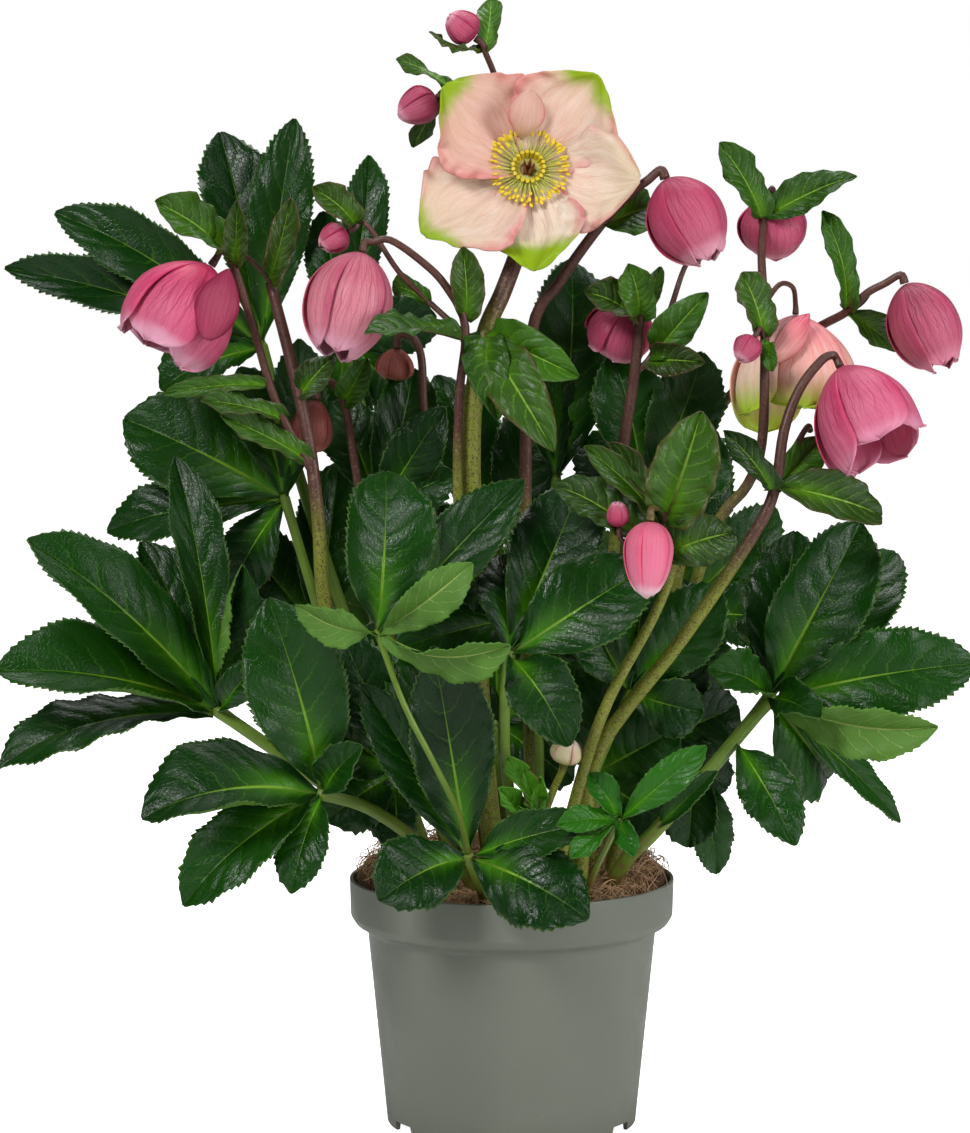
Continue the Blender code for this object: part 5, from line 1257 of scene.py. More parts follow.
# %% Bell colours
# Each bloom has the colours of a sepal's foot, body, margin, tip and veins, and settings of its own.
PINK = ([(164, 48, 84), (200, 94, 124), (186, 62, 100), (232, 160, 180), (128, 22, 58)],
        {"vein_share": 0.65})
DARK_PINK = [(150, 44, 78), (188, 84, 112), (140, 34, 66), (190, 110, 130), (120, 20, 52)]
BELL_COLOURS = {
    "bloom_left": (
        [(200, 36, 88), (208, 98, 132), (200, 62, 110), (222, 156, 180), (140, 22, 66)], {}),
    "bloom_inner_left": (
        [(196, 104, 124), (216, 136, 150), (182, 76, 108), (224, 158, 180), (142, 22, 66)], {}),
    "bloom_right_edge": (
        [(160, 66, 88), (196, 98, 124), (186, 72, 108), (220, 132, 156), (110, 24, 56)], {}),
    "bloom_right_front": (
        [(188, 68, 102), (212, 106, 138), (192, 54, 98), (218, 136, 164), (150, 26, 74)], {}),
    "bloom_pale": (
        [(226, 84, 116), (250, 224, 196), (244, 184, 170), (178, 206, 60), (224, 120, 126)],
        {"vein_share": 0.45, "tip_from": 0.6, "tip_span": 0.4, "foot_to": 0.6, "painted_sheen": 0.4}),
    "bud_middle": (
        [(220, 110, 136), (234, 128, 160), (220, 56, 110), (244, 196, 208), (206, 50, 104)],
        {"vein_share": 0.5}),
    "bud_low": (
        [(188, 188, 120), (228, 214, 176), (232, 176, 164), (236, 206, 190), (200, 150, 120)],
        {"vein_share": 0.3}),
    "bud_brown_left": (
        [(120, 60, 52), (160, 92, 82), (120, 48, 48), (172, 110, 90), (92, 36, 36)], {}),
    "bud_brown_middle": (
        [(128, 66, 56), (158, 90, 80), (120, 50, 48), (172, 110, 90), (92, 36, 36)], {}),
}
print("own colours for", sorted(BELL_COLOURS))

# %% Shape of a wrapped sepal
SEPALS = 5
SEPAL_THICKNESS = 0.7
SEPAL_SPREAD = 0.86
SEPAL_OVERLAP = 0.08
SEPAL_NARROWS = 0.7
CUP_WIDEST = 0.46
FLARED_WIDEST = 0.62
TIP_SHARE = 0.5
FLARE_SHARE = 0.84
CROWN_LIFT = 0.65
OPEN_MOUTH = 0.8
BUD_RADIUS = 13.0
BELL_GRID = (36, 25)
BUD_GRID = (18, 13)
LOOSE_GRID = (22, 13)
SEPAL_WAVE = 0.03
SEPAL_CRIMP = 0.008
SEPAL_CURL = 1.1
TIP_RIPPLE = 0.3
BELL_SEED = 500


def cup_radius(u, bloom):
    """Radius of a bell or bud at u of its length."""
    radius = bloom.radius * bloom.slim
    if bloom.radius <= BUD_RADIUS:
        x = 2 * u - 1
        return radius * np.sqrt(np.clip(1 - np.abs(x) ** 2.2, 0, 1)) * (1 - bloom.taper * x)
    closed = bloom.mouth < OPEN_MOUTH
    widest = CUP_WIDEST if closed else FLARED_WIDEST
    mouth = bloom.mouth * (TIP_SHARE if closed else FLARE_SHARE)
    low = np.clip(1 - (1 - u / widest) ** 2, 0, 1) ** (0.6 if closed else 0.66)
    high = 1 - (1 - mouth) * (np.clip(u - widest, 0, 1) / (1 - widest)) ** 2.3
    return radius * np.where(u < widest, low, high)


def wrapped_sepal(bundle, bloom, k, rng):
    """One sepal of a bell: a wide sheet on the cup, outer edge first, inner edge tucked in."""
    axis, first, second = axis_frame(bloom.axis)
    bud = bloom.radius <= BUD_RADIUS
    loose = 0 if bud else 1
    rows, columns = BUD_GRID if bud else BELL_GRID
    u = np.linspace(0.02, 1.0, rows)[:, None] ** 1.5
    v = np.linspace(-1, 1, columns)[None, :]
    rise = np.clip(u / 0.04, 0, 1) ** 0.12
    narrowing = np.clip(u - SEPAL_NARROWS, 0, 1) / (1 - SEPAL_NARROWS)
    fall = np.clip(1 - narrowing ** 2.6, 0, 1) ** 0.5
    spread = SEPAL_SPREAD * rise * np.maximum(fall, 0.03)
    angle = FULL_TURN * (k + 0.47) / SEPALS + math.radians(bloom.turn) + spread * v
    along = u * (1 + rng.uniform(*bloom.reach))
    wrap = 1 - SEPAL_OVERLAP * v * np.clip(3 * u, 0, 1)
    ripple = 1 + loose * SEPAL_WAVE * np.sin(5 * v + 6 * u + rng.uniform(0, 6)) * u ** 2
    ripple += loose * SEPAL_CRIMP * np.sin(21 * v + 3 * u + rng.uniform(0, 6))
    radius = np.maximum(cup_radius(np.clip(along, 0, 1), bloom) * wrap * ripple, 0.4)
    curl = SEPAL_CURL if bloom.mouth < OPEN_MOUTH else 1.0
    radius = radius + loose * curl * np.clip((np.abs(v) - 0.75) * 4, 0, 1) * u ** 3
    lift = CROWN_LIFT + (bloom.length - CROWN_LIFT) * along
    lift = lift + loose * TIP_RIPPLE * np.sin(9 * v + rng.uniform(0, 6)) * u ** 6
    around = np.cos(angle)[..., None] * first + np.sin(angle)[..., None] * second
    grid = np.asarray(bloom.seat, float) + axis * lift[..., None] + around * radius[..., None]
    bundle.sheet(grid[:, ::-1], surface_map(u, v)[:, ::-1], SEPAL_THICKNESS, rng.uniform(0, 1), 1.0)


def loose_sepal(bundle, base, tip, width, slot):
    """A small pointed sepal that hangs in front of its bloom, cupped over it."""
    rows, columns = LOOSE_GRID
    t = np.linspace(0.01, 0.99, rows)
    s = np.linspace(-1, 1, columns)[None, :]
    midline = spine(base, tip, 5, (0.15, -1, 0.1), t)
    half = width / 2 * outline(t, (0.8, 0.6))[:, None]
    t = t[:, None]
    rise = -0.5 * half * s ** 2 + 0.4 * np.sin(9 * t + 2 * s)
    bundle.sheet(beside(*midline, s * half, rise), surface_map(t * 0.6, s), SEPAL_THICKNESS,
                 1.0, 0.0, (slot, slot))


LOOSE_SEPALS = {"bloom_left": ((-143, -58, 449), (-153, -67, 413), 22, 2),
                "bloom_pale": ((152, -17, 425), (133, -35, 401), 14, 0)}
dark_petal = petal_look("dark_petal", DARK_PINK)
for number, (name, bloom) in enumerate(BLOOMS.items()):
    rng = np.random.default_rng(BELL_SEED + number)
    bundle = Bundle()
    for k in range(SEPALS):
        wrapped_sepal(bundle, bloom, k, rng)
    if name in LOOSE_SEPALS:
        loose_sepal(bundle, *LOOSE_SEPALS[name])
    colours, settings = BELL_COLOURS.get(name, PINK)
    look = petal_look(name + "_petal", colours, **settings)
    bundle.piece(name + "_grown", [look, look, dark_petal], name)
print("bells and buds grown:", len(BLOOMS))

# %% [markdown]
# ## The open flower
# The best flower faces the camera: five broad cream sepals with rosy, crimped margins and
# chartreuse tips round a boss of yellow stamens. The sepals are sheets that overlap like the ones
# in the bells, spread nearly flat.

# %% Open sepals
# Each sepal's tip, its width, the reach of its green tip and how pink it is.
OPEN_SEPALS = [((-34, -24, 541), 62, 1.5, 1.0), ((43, -22, 546), 58, 1.6, 0.5),
               ((64, -28, 494), 56, 0.0, 0.2), ((11, -38, 449), 52, 2.1, 0.0),
               ((-45, -38, 467), 58, 1.5, 0.3)]
OPEN_SEPAL_RISE = 3.0
OPEN_WIDEST = 0.62
OPEN_FULLNESS = 1.2
KITE_CORNER = 6
OPEN_GRID = (56, 41)
OPEN_CUP = 0.16
OPEN_WAVE = 2.0
OPEN_SWELL = 1.3
OPEN_DROOP = 3.0
OPEN_FOLDS = 0.9
OPEN_CREASES = 0.35
CRIMP_HEIGHT = 1.3
OPEN_SEED = 700
OPEN_FACE = [(186, 184, 90), (226, 204, 184), (214, 132, 136), (138, 168, 16), (206, 134, 126)]
OPEN_BACK = [(190, 200, 120), (220, 160, 158), (200, 96, 116), (150, 176, 50), (196, 96, 114)]


def kite(t):
    """Half width of an open sepal: straight out to its widest, then straight in to its point."""
    out = (t / OPEN_WIDEST) ** 0.62
    back = (np.clip(1 - t, 0, 1) / (1 - OPEN_WIDEST)) ** 0.72
    return (out ** -KITE_CORNER + back ** -KITE_CORNER) ** (-1 / KITE_CORNER)


def open_sepal(bundle, tip, width, green, blush, rng):
    """One broad, crimped sepal of the open flower."""
    rows, columns = OPEN_GRID
    t = np.linspace(0.012, 0.992, rows)
    s = np.linspace(-1, 1, columns)[None, :]
    axis = unit(OPEN_AXIS)
    centre = np.array(OPEN_SEAT) + axis * OPEN_SEPAL_RISE
    up = turned(axis, unit(np.asarray(tip, float) - centre), np.array(FAN_ROLL))
    midline = spine(centre, tip, -4, up, t)
    half = np.maximum(OPEN_FULLNESS * width / 2 * kite(t), 0.5)[:, None]
    t = t[:, None]
    share = np.abs(s)
    side = np.sign(s)
    phases = rng.uniform(0, FULL_TURN, 6)
    crimp = np.sin(31 * t + phases[0]) + 0.8 * np.sin(47 * t + phases[1] * side)
    swing = s * half * (1 + 0.02 * crimp * share ** 4)
    calm = np.clip(4 * t, 0, 1) * np.clip(half / 12, 0, 1)
    rise = OPEN_CUP * half * share
    rise += OPEN_WAVE * share ** 2 * np.sin(8 * t + 1.6 * side + phases[2]) * calm
    rise += CRIMP_HEIGHT * share ** 4 * crimp * calm
    rise += OPEN_SWELL * np.sin(7 * t + 4 * s + phases[3]) * calm - OPEN_DROOP * t ** 5
    rise += OPEN_FOLDS * np.sin(9 * s + phases[5]) * np.sin(math.pi * t) ** 2
    rise += OPEN_CREASES * np.sin(19 * s + phases[4] + 3 * t) * np.sin(math.pi * t)
    bundle.sheet(beside(*midline, swing, rise), surface_map(t, s), SEPAL_THICKNESS, blush, green)


open_face = petal_look("open_face", OPEN_FACE, vein_share=0.4, tip_from=0.92, foot_to=0.3,
                       margin_from=0.66, painted_sheen=0.2, blush=(206, 134, 122))
open_back = petal_look("open_back", OPEN_BACK, vein_share=0.5, tip_from=0.92)
rng = np.random.default_rng(OPEN_SEED)
bundle = Bundle()
for sepal in OPEN_SEPALS:
    open_sepal(bundle, *sepal, rng)
loose_sepal(bundle, (5, -14, 514), (9, -25, 539), 19, 0)
bundle.piece("bloom_open_grown", [open_face, open_back], "bloom_open")
print("open sepals:", len(OPEN_SEPALS))

# %% [markdown]
# ## Stamens
# More than a hundred stamens stand round the middle: pale threads with yellow anthers. They repeat
# by a rule, so Geometry Nodes place them: a line of points is moved onto a dome by the golden
# angle, a thread is instanced on each foot and an anther on each head.


# %% Helpers for geometry trees
class Geometry(Nodes):
    """A Geometry Nodes tree with named inputs, used once and then turned into a mesh."""

    def __init__(self, name, inputs):
        super().__init__(bpy.data.node_groups.new(name, "GeometryNodeTree"))
        sockets = self.tree.interface
        for way in ("INPUT", "OUTPUT"):
            sockets.new_socket("Geometry", in_out=way, socket_type="NodeSocketGeometry")
        self.wanted = {}
        for label, value in inputs.items():
            kind = "NodeSocketInt" if isinstance(value, int) else "NodeSocketFloat"
            self.wanted[sockets.new_socket(label, in_out="INPUT", socket_type=kind).identifier] = value
        self.input = self.tree.nodes.new("NodeGroupInput").outputs

    def vector(self, operation, *values, out=0):
        made = self.node("ShaderNodeVectorMath", dict(enumerate(values)), operation=operation)
        return made.outputs[out]

    def length(self, vector):
        return self.vector("LENGTH", vector, out="Value")

    def standing(self, way):
        """The rotation that stands a thing's own Z along a direction."""
        return self.node("FunctionNodeAlignRotationToVector", {"Vector": way}, axis="Z").outputs[0]

    def chance(self, low, high, seed):
        """A random vector for each point between two corners."""
        inputs = {"Min": Vector(low), "Max": Vector(high), "Seed": seed}
        return self.node("FunctionNodeRandomValue", inputs, data_type="FLOAT_VECTOR").outputs[0]

    def ring(self, count, radius):
        return self.node("GeometryNodeMeshCircle", {"Vertices": count, "Radius": radius}).outputs[0]

    def cone(self, sides, top, bottom, depth):
        inputs = {"Vertices": sides, "Side Segments": 3, "Radius Top": top, "Radius Bottom": bottom,
                  "Depth": depth}
        return self.node("GeometryNodeMeshCone", inputs).outputs["Mesh"]

    def placed(self, points, thing, rotation, scale=(1.0, 1.0, 1.0)):
        inputs = {"Points": points, "Instance": thing, "Rotation": rotation, "Scale": scale}
        return self.node("GeometryNodeInstanceOnPoints", inputs).outputs[0]

    def coloured(self, *parts):
        """Pairs of instances and looks as one real geometry."""
        result = self.tree.nodes.new("GeometryNodeJoinGeometry")
        for part, look in parts:
            real = self.node("GeometryNodeRealizeInstances", {0: part}).outputs[0]
            seen = self.node("GeometryNodeSetMaterial", {0: real, "Material": look}).outputs[0]
            self.tree.links.new(seen, result.inputs[0])
        return result.outputs[0]

    def mesh(self, result, name, start=None):
        """Run the tree on an object and return what it made as a plain mesh."""
        end = self.tree.nodes.new("NodeGroupOutput")
        self.tree.links.new(result, end.inputs[0])
        item = link(bpy.data.objects.new(name, start or bpy.data.meshes.new(name)))
        modifier = item.modifiers.new("Build", "NODES")
        modifier.node_group = self.tree
        for identifier, value in self.wanted.items():
            modifier[identifier] = value
        made = evaluated_mesh(item)
        bpy.data.objects.remove(item)
        return made


def evaluated_mesh(item):
    """The mesh that an object's modifiers make."""
    return bpy.data.meshes.new_from_object(item.evaluated_get(bpy.context.evaluated_depsgraph_get()))


def joined(name, meshes):
    """Several meshes with their own materials as one object."""
    items = [link(bpy.data.objects.new(name, mesh)) for mesh in meshes]
    with bpy.context.temp_override(active_object=items[0], selected_editable_objects=items):
        bpy.ops.object.join()
    return items[0]


print("geometry helpers ready")

# %% Stamens on a dome
GOLDEN_ANGLE = math.pi * (3 - math.sqrt(5))
STAMEN_RISE = 4.0


def stamens():
    """Threads and anthers about the flower's axis, as a mesh in metres that stands on +Z."""
    thread_look = plain_look("stamen_thread", rgb(176, 188, 66), rgb(220, 218, 124))
    anther_look = plain_look("anther", rgb(218, 184, 22), rgb(244, 220, 70), 900.0, 0.7)
    geo = Geometry("stamens", {"Count": 116, "Foot ring": 4.4 * MM, "Inner reach": 15.0 * MM,
                               "Outer reach": 20.5 * MM, "Height": 9.0 * MM, "Seed": 5})
    get = geo.input
    index = geo.node("GeometryNodeInputIndex").outputs[0]
    share = geo.math("SQRT", geo.math("DIVIDE", geo.plus(index, 0.5), get["Count"]))
    angle = geo.times(index, GOLDEN_ANGLE)
    cos, sin = geo.math("COSINE", angle), geo.math("SINE", angle)
    span = geo.math("SUBTRACT", get["Outer reach"], get["Inner reach"])
    reach = geo.plus(get["Inner reach"], geo.times(share, span))
    height = geo.times(get["Height"], geo.math("SUBTRACT", 1.15, geo.times(share, 0.6)))
    stray = geo.chance([-MM] * 3, [MM] * 3, get["Seed"])
    head = geo.combine(geo.times(cos, reach), geo.times(sin, reach), height)
    head = geo.vector("ADD", head, stray)
    foot = geo.combine(geo.times(cos, get["Foot ring"]), geo.times(sin, get["Foot ring"]), MM)
    line = geo.node("GeometryNodeMeshLine", {"Count": get["Count"]}).outputs[0]
    feet, heads = (geo.node("GeometryNodeSetPosition", {"Geometry": line, "Position": place}).outputs[0]
                   for place in (foot, head))
    way = geo.vector("SUBTRACT", head, foot)
    turn = geo.standing(way)
    thread = geo.cone(5, 0.2 * MM, 0.34 * MM, 1.0)
    threads = geo.placed(feet, thread, turn, geo.combine(1.0, 1.0, geo.length(way)))
    anther = geo.node("GeometryNodeMeshUVSphere", {"Segments": 8, "Rings": 5, "Radius": 1.2 * MM})
    anthers = geo.placed(heads, anther.outputs["Mesh"], turn, (0.8, 0.6, 1.35))
    return geo.mesh(geo.coloured((threads, thread_look), (anthers, anther_look)), "stamens")


def nectaries():
    """A ring of small yellow-green tubes inside the stamens, and the pistils in the middle."""
    cup_look = plain_look("nectary", rgb(186, 164, 12), rgb(232, 206, 44), 900.0)
    style_look = plain_look("pistil", rgb(96, 44, 30), rgb(150, 96, 50), 500.0)
    geo = Geometry("nectaries", {"Count": 19, "Ring": 5.6 * MM, "Styles": 5, "Style ring": 1.7 * MM})
    get = geo.input
    place = geo.node("GeometryNodeInputPosition").outputs[0]
    turn = geo.standing(geo.vector("ADD", place, (0, 0, 14.0 * MM)))
    cups = geo.placed(geo.ring(get["Count"], get["Ring"]),
                      geo.cone(10, 1.05 * MM, 0.7 * MM, 6.5 * MM), turn)
    styles = geo.placed(geo.ring(get["Styles"], get["Style ring"]),
                        geo.cone(8, 0.35 * MM, 1.3 * MM, 10.0 * MM), turn)
    return geo.mesh(geo.coloured((cups, cup_look), (styles, style_look)), "nectaries")


centre = joined("bloom_open_stamens_grown", [stamens(), nectaries()])
axis = Vector(unit(OPEN_AXIS))
seat = Matrix.Translation((Vector(OPEN_SEAT) + axis * STAMEN_RISE) * MM)
centre.data.transform(seat @ axis.to_track_quat("Z", "Y").to_matrix().to_4x4())
dress(centre, "bloom_open_stamens")
print("stamen faces:", len(centre.data.polygons))

# %% [markdown]
# ## The pot
# The pot is one moulded part: a tapered wall, a deep rim band with a shoulder below it, and a
# notched foot ring. It is a turned shape, so its profile is drawn once with rounded corners and
# spun by a Screw modifier, and the notches are cut with a Boolean.

# %% Pot sizes
POT_HEIGHT = 130.0
RIM_RADIUS = 85.0
RIM_DEPTH = 19.5
RIM_DRAFT = 0.6
RIM_WALL = 1.9
SHOULDER_DROP = 4.0
SHOULDER_STEP = 3.0
NECK_RADIUS = 75.6
NECK_Z = 103.0
BASE_RADIUS = 65.3
POT_WALL = 1.6
FOOT_WALL = 2.4
FLOOR_Z = 6.0
BOSS_RADIUS = 18.0
BOSS_SLOPE = 4.0
POT_STEPS = 144
SHARP_ANGLE = 35.0
NOTCH_COUNT = 6
NOTCH_SIZE = (12.0, 15.0, 10.0)
NOTCH_FLARE = 1.3
NOTCH_START = 30.0
DRAIN_COUNT = 4
DRAIN_RADIUS = 5.0
DRAIN_RING = 42.0
DRAIN_START = 45.0
GAP = 0.3
ARC_STEPS = 4


def wall_radius(z):
    """Outer radius of the pot's tapered wall at a height below the rim band."""
    return BASE_RADIUS + (NECK_RADIUS - BASE_RADIUS) * z / NECK_Z


print("pot", 2 * RIM_RADIUS, "mm across,", POT_HEIGHT, "mm high")


# %% Pot profile and mesh
def rounded(corners):
    """A profile with each corner (radius, height, rounding) replaced by a short arc."""
    points = []
    for k, (r, z, size) in enumerate(corners):
        here = np.array((r, z), float)
        if size == 0:
            points.append(here)
            continue
        before = np.array(corners[k - 1][:2], float)
        after = np.array(corners[(k + 1) % len(corners)][:2], float)
        start = here + unit(before - here) * size
        end = here + unit(after - here) * size
        for t in np.arange(ARC_STEPS + 1) / ARC_STEPS:
            points.append(start * (1 - t) ** 2 + here * 2 * t * (1 - t) + end * t ** 2)
    return points


def turned_shell(points):
    """An object made by spinning a closed profile about Z; its edge on the axis is left out."""
    mesh = bpy.data.meshes.new("pot_moulded")
    places = [(r * MM, 0, z * MM) for r, z in points]
    edges = [(k, (k + 1) % len(places)) for k in range(len(places))
             if places[k][0] > 0 or places[(k + 1) % len(places)][0] > 0]
    mesh.from_pydata(places, edges, [])
    item = link(bpy.data.objects.new("pot_moulded", mesh))
    screw = item.modifiers.new("Turn", "SCREW")
    screw.steps = POT_STEPS
    screw.render_steps = POT_STEPS
    screw.use_merge_vertices = True
    screw.merge_threshold = 0.00001
    screw.use_normal_calculate = True
    return item


def cutter(name, make, angle):
    """A solid that a Boolean cuts away, at an angle in degrees about the pot's axis."""
    work = bmesh.new()
    make(work, math.radians(angle))
    mesh = bpy.data.meshes.new(name)
    work.to_mesh(mesh)
    work.free()
    return bpy.data.objects.new(name, mesh)


def notch(work, angle):
    """A block across the foot ring, wider at its lower end."""
    bmesh.ops.create_cube(work, size=1.0)
    place = Matrix.Rotation(angle, 4, "Z") @ Matrix.Translation((BASE_RADIUS * MM, 0, 0))
    length, width, height = NOTCH_SIZE
    for vert in work.verts:
        flare = 1.0 if vert.co.z > 0 else NOTCH_FLARE
        vert.co = place @ (vert.co * Vector((length, width * flare, height)) * MM)


def drain(work, angle):
    """A rod through the pot's floor."""
    bmesh.ops.create_cone(work, cap_ends=True, segments=32, radius1=DRAIN_RADIUS * MM,
                          radius2=DRAIN_RADIUS * MM, depth=2 * FLOOR_Z * MM)
    place = Vector((math.cos(angle), math.sin(angle), 0)) * DRAIN_RING + Vector((0, 0, FLOOR_Z + GAP))
    bmesh.ops.translate(work, verts=work.verts, vec=place * MM)


def pot_mesh():
    """The spun profile with its notches and drain holes cut."""
    band_foot = POT_HEIGHT - RIM_DEPTH
    floor_top = FLOOR_Z + POT_WALL
    shell = turned_shell(rounded([
        (RIM_RADIUS, POT_HEIGHT, 0.9), (RIM_RADIUS - RIM_DRAFT, band_foot, 0.8),
        (RIM_RADIUS - SHOULDER_STEP, band_foot - SHOULDER_DROP, 1.2), (NECK_RADIUS, NECK_Z, 2.2),
        (BASE_RADIUS, 0, 1.0), (BASE_RADIUS - FOOT_WALL, 0, 0.8), (BASE_RADIUS - FOOT_WALL, FLOOR_Z, 0.8),
        (BOSS_RADIUS + BOSS_SLOPE, FLOOR_Z, 1.0), (BOSS_RADIUS, 0, 1.0), (0, 0, 0),
        (0, POT_WALL, 0), (BOSS_RADIUS - 1, POT_WALL, 1.0), (BOSS_RADIUS + BOSS_SLOPE - 1, floor_top, 1.0),
        (wall_radius(floor_top) - POT_WALL, floor_top, 2.0), (NECK_RADIUS - POT_WALL, NECK_Z + 0.5, 1.5),
        (RIM_RADIUS - RIM_DRAFT - RIM_WALL, band_foot - 1, 1.5), (RIM_RADIUS - RIM_WALL, POT_HEIGHT, 0.8),
    ]))
    group = bpy.data.collections.new("pot_cutters")
    for k in range(NOTCH_COUNT):
        group.objects.link(cutter("notch", notch, NOTCH_START + 360 * k / NOTCH_COUNT))
    for k in range(DRAIN_COUNT):
        group.objects.link(cutter("drain", drain, DRAIN_START + 360 * k / DRAIN_COUNT))
    cut = shell.modifiers.new("Cut", "BOOLEAN")
    cut.operation = "DIFFERENCE"
    cut.operand_type = "COLLECTION"
    cut.collection = group
    cut.solver = "EXACT"
    mesh = evaluated_mesh(shell)
    for item in [shell, *group.objects]:
        bpy.data.objects.remove(item)
    bpy.data.collections.remove(group)
    return mesh


print("cutters:", NOTCH_COUNT, "notches and", DRAIN_COUNT, "drain holes")


# %% Pot finish
def pot_look():
    """Grey-green plastic, darker in patches at its foot, with pale scuffs and a fine grain."""
    tree = Tree("pot_plastic", Specular_IOR_Level=0.45)
    height = tree.split(tree.place())[2]
    # Darker in patches over the lowest 20 mm of the pot, towards the floor.
    darker_foot = tree.times(tree.band(height, 0.0, 0.02, 0.4, 0.0), tree.noise(90.0, 4.0))
    base = tree.layers(
        tree.mix(tree.noise(14.0), rgb(106, 111, 100), rgb(114, 118, 107)),
        (darker_foot, rgb(86, 84, 74)),
        (tree.band(tree.noise(240.0, 6.0, 0.7), 0.62, 0.8, 0.0, 0.25), rgb(150, 152, 142)))
    grain = tree.plus(tree.noise(900.0, 2.0), tree.times(tree.noise(30.0, 2.0), 2.0))
    return tree.finish(base, tree.patchy(tree.noise(50.0, 4.0), 0.4, 0.52), grain, 0.12)


mesh = pot_mesh()
mesh.materials.clear()
mesh.materials.append(pot_look())
mesh.shade_smooth()
mesh.set_sharp_from_angle(angle=math.radians(SHARP_ANGLE))
dress(bpy.data.objects.new("pot_moulded", mesh), "pot")
print("pot faces:", len(mesh.polygons))

# %% [markdown]
# ## Compost and coconut fibre
# The compost is a lumpy disc just below the rim. What shows of it is a mat of brown coconut
# fibres. They are scattered over the disc by Geometry Nodes: each is a copy of one bent thread,
# turned and scaled at random with a fixed seed.

# %% Compost surface
SOIL_TOP = 122.0
SOIL_MOUND = 18.0
SOIL_RIPPLE = 1.6
SOIL_LUMPS = 0.7
SOIL_EDGE_DROP = 3.0
SOIL_EDGE_FROM = 0.85
SOIL_EDGE_SPAN = 0.15
SOIL_RIM_GAP = 4.6
SOIL_STEPS = 120
SOIL_RINGS = 44
SOIL_SEED = 900
LEVEL_ENOUGH = 0.3


def soil_height(radius, angle):
    """Height of the root ball's top: heaped at the sides and the back, lower in front."""
    share = radius / RIM_RADIUS
    front = 0.5 - 0.5 * np.sin(angle)
    heap = SOIL_MOUND * share * (1 - front ** 2)
    ripple = SOIL_RIPPLE * np.sin(5 * angle + radius * 0.2) * share
    return SOIL_TOP + heap + ripple - SOIL_EDGE_DROP * np.maximum(0, share - SOIL_EDGE_FROM) / SOIL_EDGE_SPAN


def compost_mesh():
    """A closed lumpy plug that fills the top of the pot."""
    rng = np.random.default_rng(SOIL_SEED)
    edge = RIM_RADIUS - SOIL_RIM_GAP
    angles = np.linspace(0, FULL_TURN, SOIL_STEPS, endpoint=False)
    low = FLOOR_Z + POT_WALL + GAP
    inset = POT_WALL + 2 * GAP
    rings = []
    for radius in np.linspace(0.5, edge, SOIL_RINGS):
        lumps = rng.normal(0, SOIL_LUMPS, SOIL_STEPS) * min(1, radius / 8)
        rings.append((radius, soil_height(radius, angles) + lumps))
    rings += [(edge, POT_HEIGHT - RIM_DEPTH), (NECK_RADIUS - inset, NECK_Z), (wall_radius(low) - inset, low)]
    points = [np.stack(np.broadcast_arrays(r * np.cos(angles), r * np.sin(angles), z), axis=-1)
              for r, z in rings]
    points = np.concatenate(points + [[(0, 0, soil_height(0, 0))], [(0, 0, low)]])
    faces = [face[:1] + face[:0:-1] for face in tube_faces(len(rings), SOIL_STEPS)]
    mesh = bpy.data.meshes.new("compost")
    mesh.from_pydata((points * MM).tolist(), [], faces)
    mesh.shade_smooth()
    return mesh


def fibre_carpet(ground):
    """Coconut fibres lying over the ground mesh."""
    look = plain_look("coconut_fibre", rgb(128, 90, 58), rgb(216, 178, 138), 120.0, 0.8)
    geo = Geometry("fibres", {"Density": 170000.0, "Thickness": 0.3 * MM, "Length": 22.0 * MM,
                              "Reach": 75.0 * MM, "Seed": 11})
    get = geo.input
    up = geo.split(geo.node("GeometryNodeInputNormal").outputs[0])[2]
    place = geo.split(geo.node("GeometryNodeInputPosition").outputs[0])
    inside = geo.math("LESS_THAN", geo.length(geo.combine(place[0], place[1], 0.0)), get["Reach"])
    level = geo.times(inside, geo.math("GREATER_THAN", up, LEVEL_ENOUGH))
    scatter = geo.node("GeometryNodeDistributePointsOnFaces", {
        "Mesh": get["Geometry"], "Selection": level, "Density": get["Density"], "Seed": get["Seed"]})
    arc = geo.node("GeometryNodeCurveQuadraticBezier", {
        "Resolution": 6, "Start": (-0.5, 0, -0.02), "Middle": (0.0, 0.5, 0.75), "End": (0.5, -0.1, 0.0)})
    ring = geo.node("GeometryNodeCurvePrimitiveCircle", {
        "Resolution": 3, "Radius": geo.math("DIVIDE", get["Thickness"], get["Length"])})
    thread = geo.node("GeometryNodeCurveToMesh", {
        "Curve": arc.outputs[0], "Profile Curve": ring.outputs[0], "Fill Caps": True}).outputs[0]
    spin = geo.chance((-0.4, -0.35, 0), (0.4, 0.35, 6.28), get["Seed"])
    size = geo.node("FunctionNodeRandomValue", {2: 0.45, 3: 1.0, "Seed": 3}, data_type="FLOAT").outputs[1]
    laid = geo.placed(scatter.outputs["Points"], thread, spin, geo.times(size, get["Length"]))
    return geo.mesh(geo.coloured((laid, look)), "fibres", ground)


ground = compost_mesh()
fibres = fibre_carpet(ground.copy())
ground.materials.append(plain_look("compost", rgb(58, 38, 24), rgb(108, 74, 48), 260.0, 0.9))
compost = joined("root_ball_fibres", [ground, fibres])
dress(compost, "root_ball")
print("fibre and compost faces:", len(compost.data.polygons))

# %% [markdown]
# ## Floor and light
# The setting is a white studio: a pale floor, an even white surround, one broad light from the
# upper left for the gloss on the leaves, and a weaker one from the right.

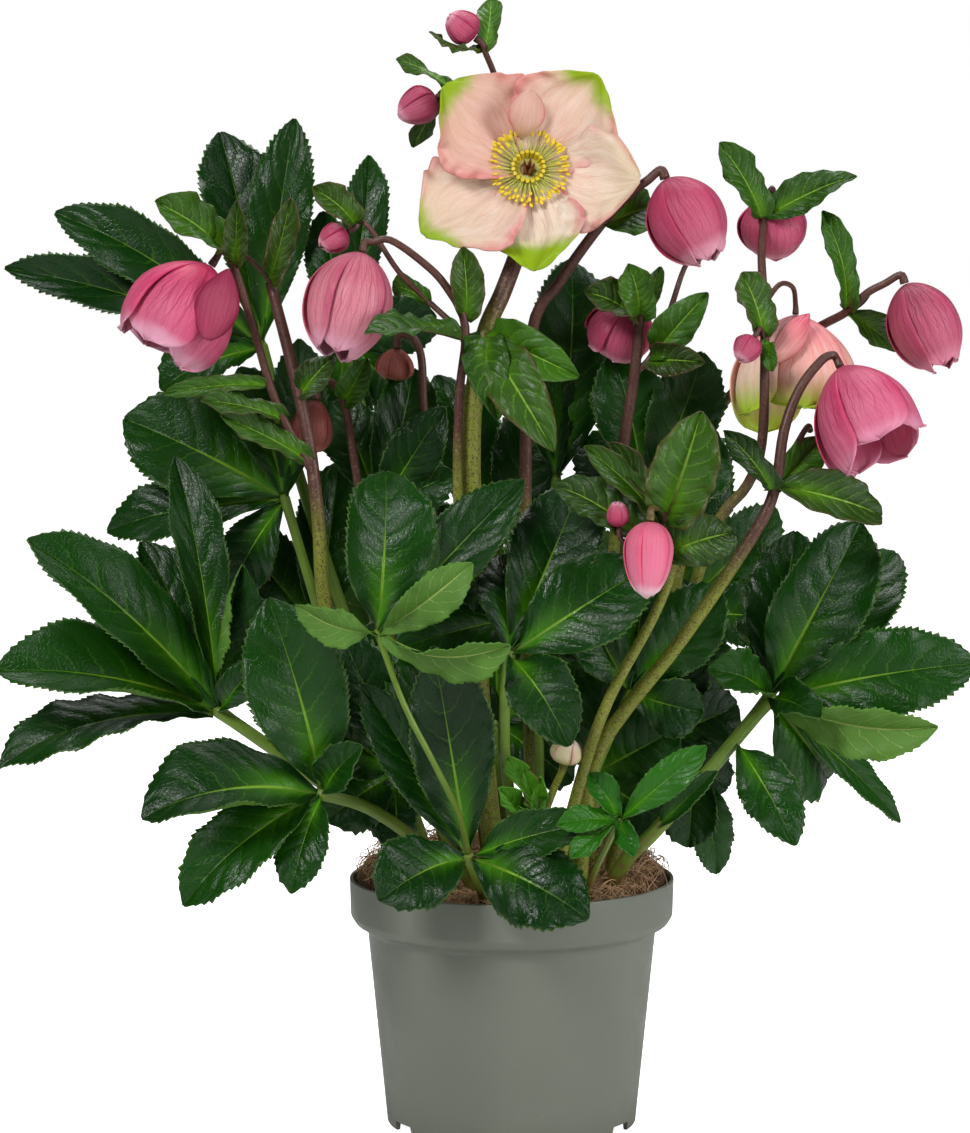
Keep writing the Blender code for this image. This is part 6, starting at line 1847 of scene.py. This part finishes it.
# %% Floor, lights and surround
WHITE = (1.0, 1.0, 1.0, 1.0)
SURROUND_LIGHT = 0.15
SURROUND_GLOSS = 0.07
FLOOR_GLOW = 1.0
LIGHT_AIM = Vector((0, 0, 0.3))
FLOOR_CORNERS = [(-6, -4, 0), (6, -4, 0), (6, 8, 0), (-6, 8, 0)]

floor_mesh = bpy.data.meshes.new("studio_floor")
floor_mesh.from_pydata(FLOOR_CORNERS, [], [(0, 1, 2, 3)])
floor = link(bpy.data.objects.new("studio_floor", floor_mesh))
floor_look = plain_look("floor_paper", rgb(236, 236, 234), rgb(240, 240, 238), 2.0, 0.9)
paper = Nodes(floor_look.node_tree)
seen = paper.node("ShaderNodeLightPath").outputs["Is Camera Ray"]
shader = paper.tree.nodes["Principled BSDF"]
shader.inputs["Emission Color"].default_value = WHITE
paper.tree.links.new(paper.span(seen, 0.0, FLOOR_GLOW), shader.inputs["Emission Strength"])
floor_mesh.materials.append(floor_look)

world = bpy.data.worlds.new("studio")
world.use_nodes = True
studio = Nodes(world.node_tree)
rays = studio.node("ShaderNodeLightPath").outputs
gloss = studio.span(rays["Is Glossy Ray"], SURROUND_LIGHT, SURROUND_GLOSS)
background = studio.tree.nodes["Background"]
background.inputs["Color"].default_value = WHITE
studio.tree.links.new(studio.span(rays["Is Camera Ray"], gloss, 1.0), background.inputs["Strength"])
bpy.context.scene.world = world
bpy.context.scene.view_settings.view_transform = "Standard"


def area_light(name, place, size, power):
    """A soft light that looks at the middle of the plant."""
    data = bpy.data.lights.new(name, "AREA")
    data.shape = "RECTANGLE"
    data.size, data.size_y = size
    data.energy = power
    lamp = link(bpy.data.objects.new(name, data))
    lamp.location = place
    lamp.rotation_euler = (LIGHT_AIM - Vector(place)).to_track_quat("-Z", "Y").to_euler()


area_light("key", (-1.0, -1.6, 1.7), (0.7, 0.7), 36.0)
area_light("fill", (1.7, -1.1, 1.0), (0.7, 1.4), 25.0)
area_light("top", (0.1, 0.7, 1.8), (1.4, 0.7), 18.0)
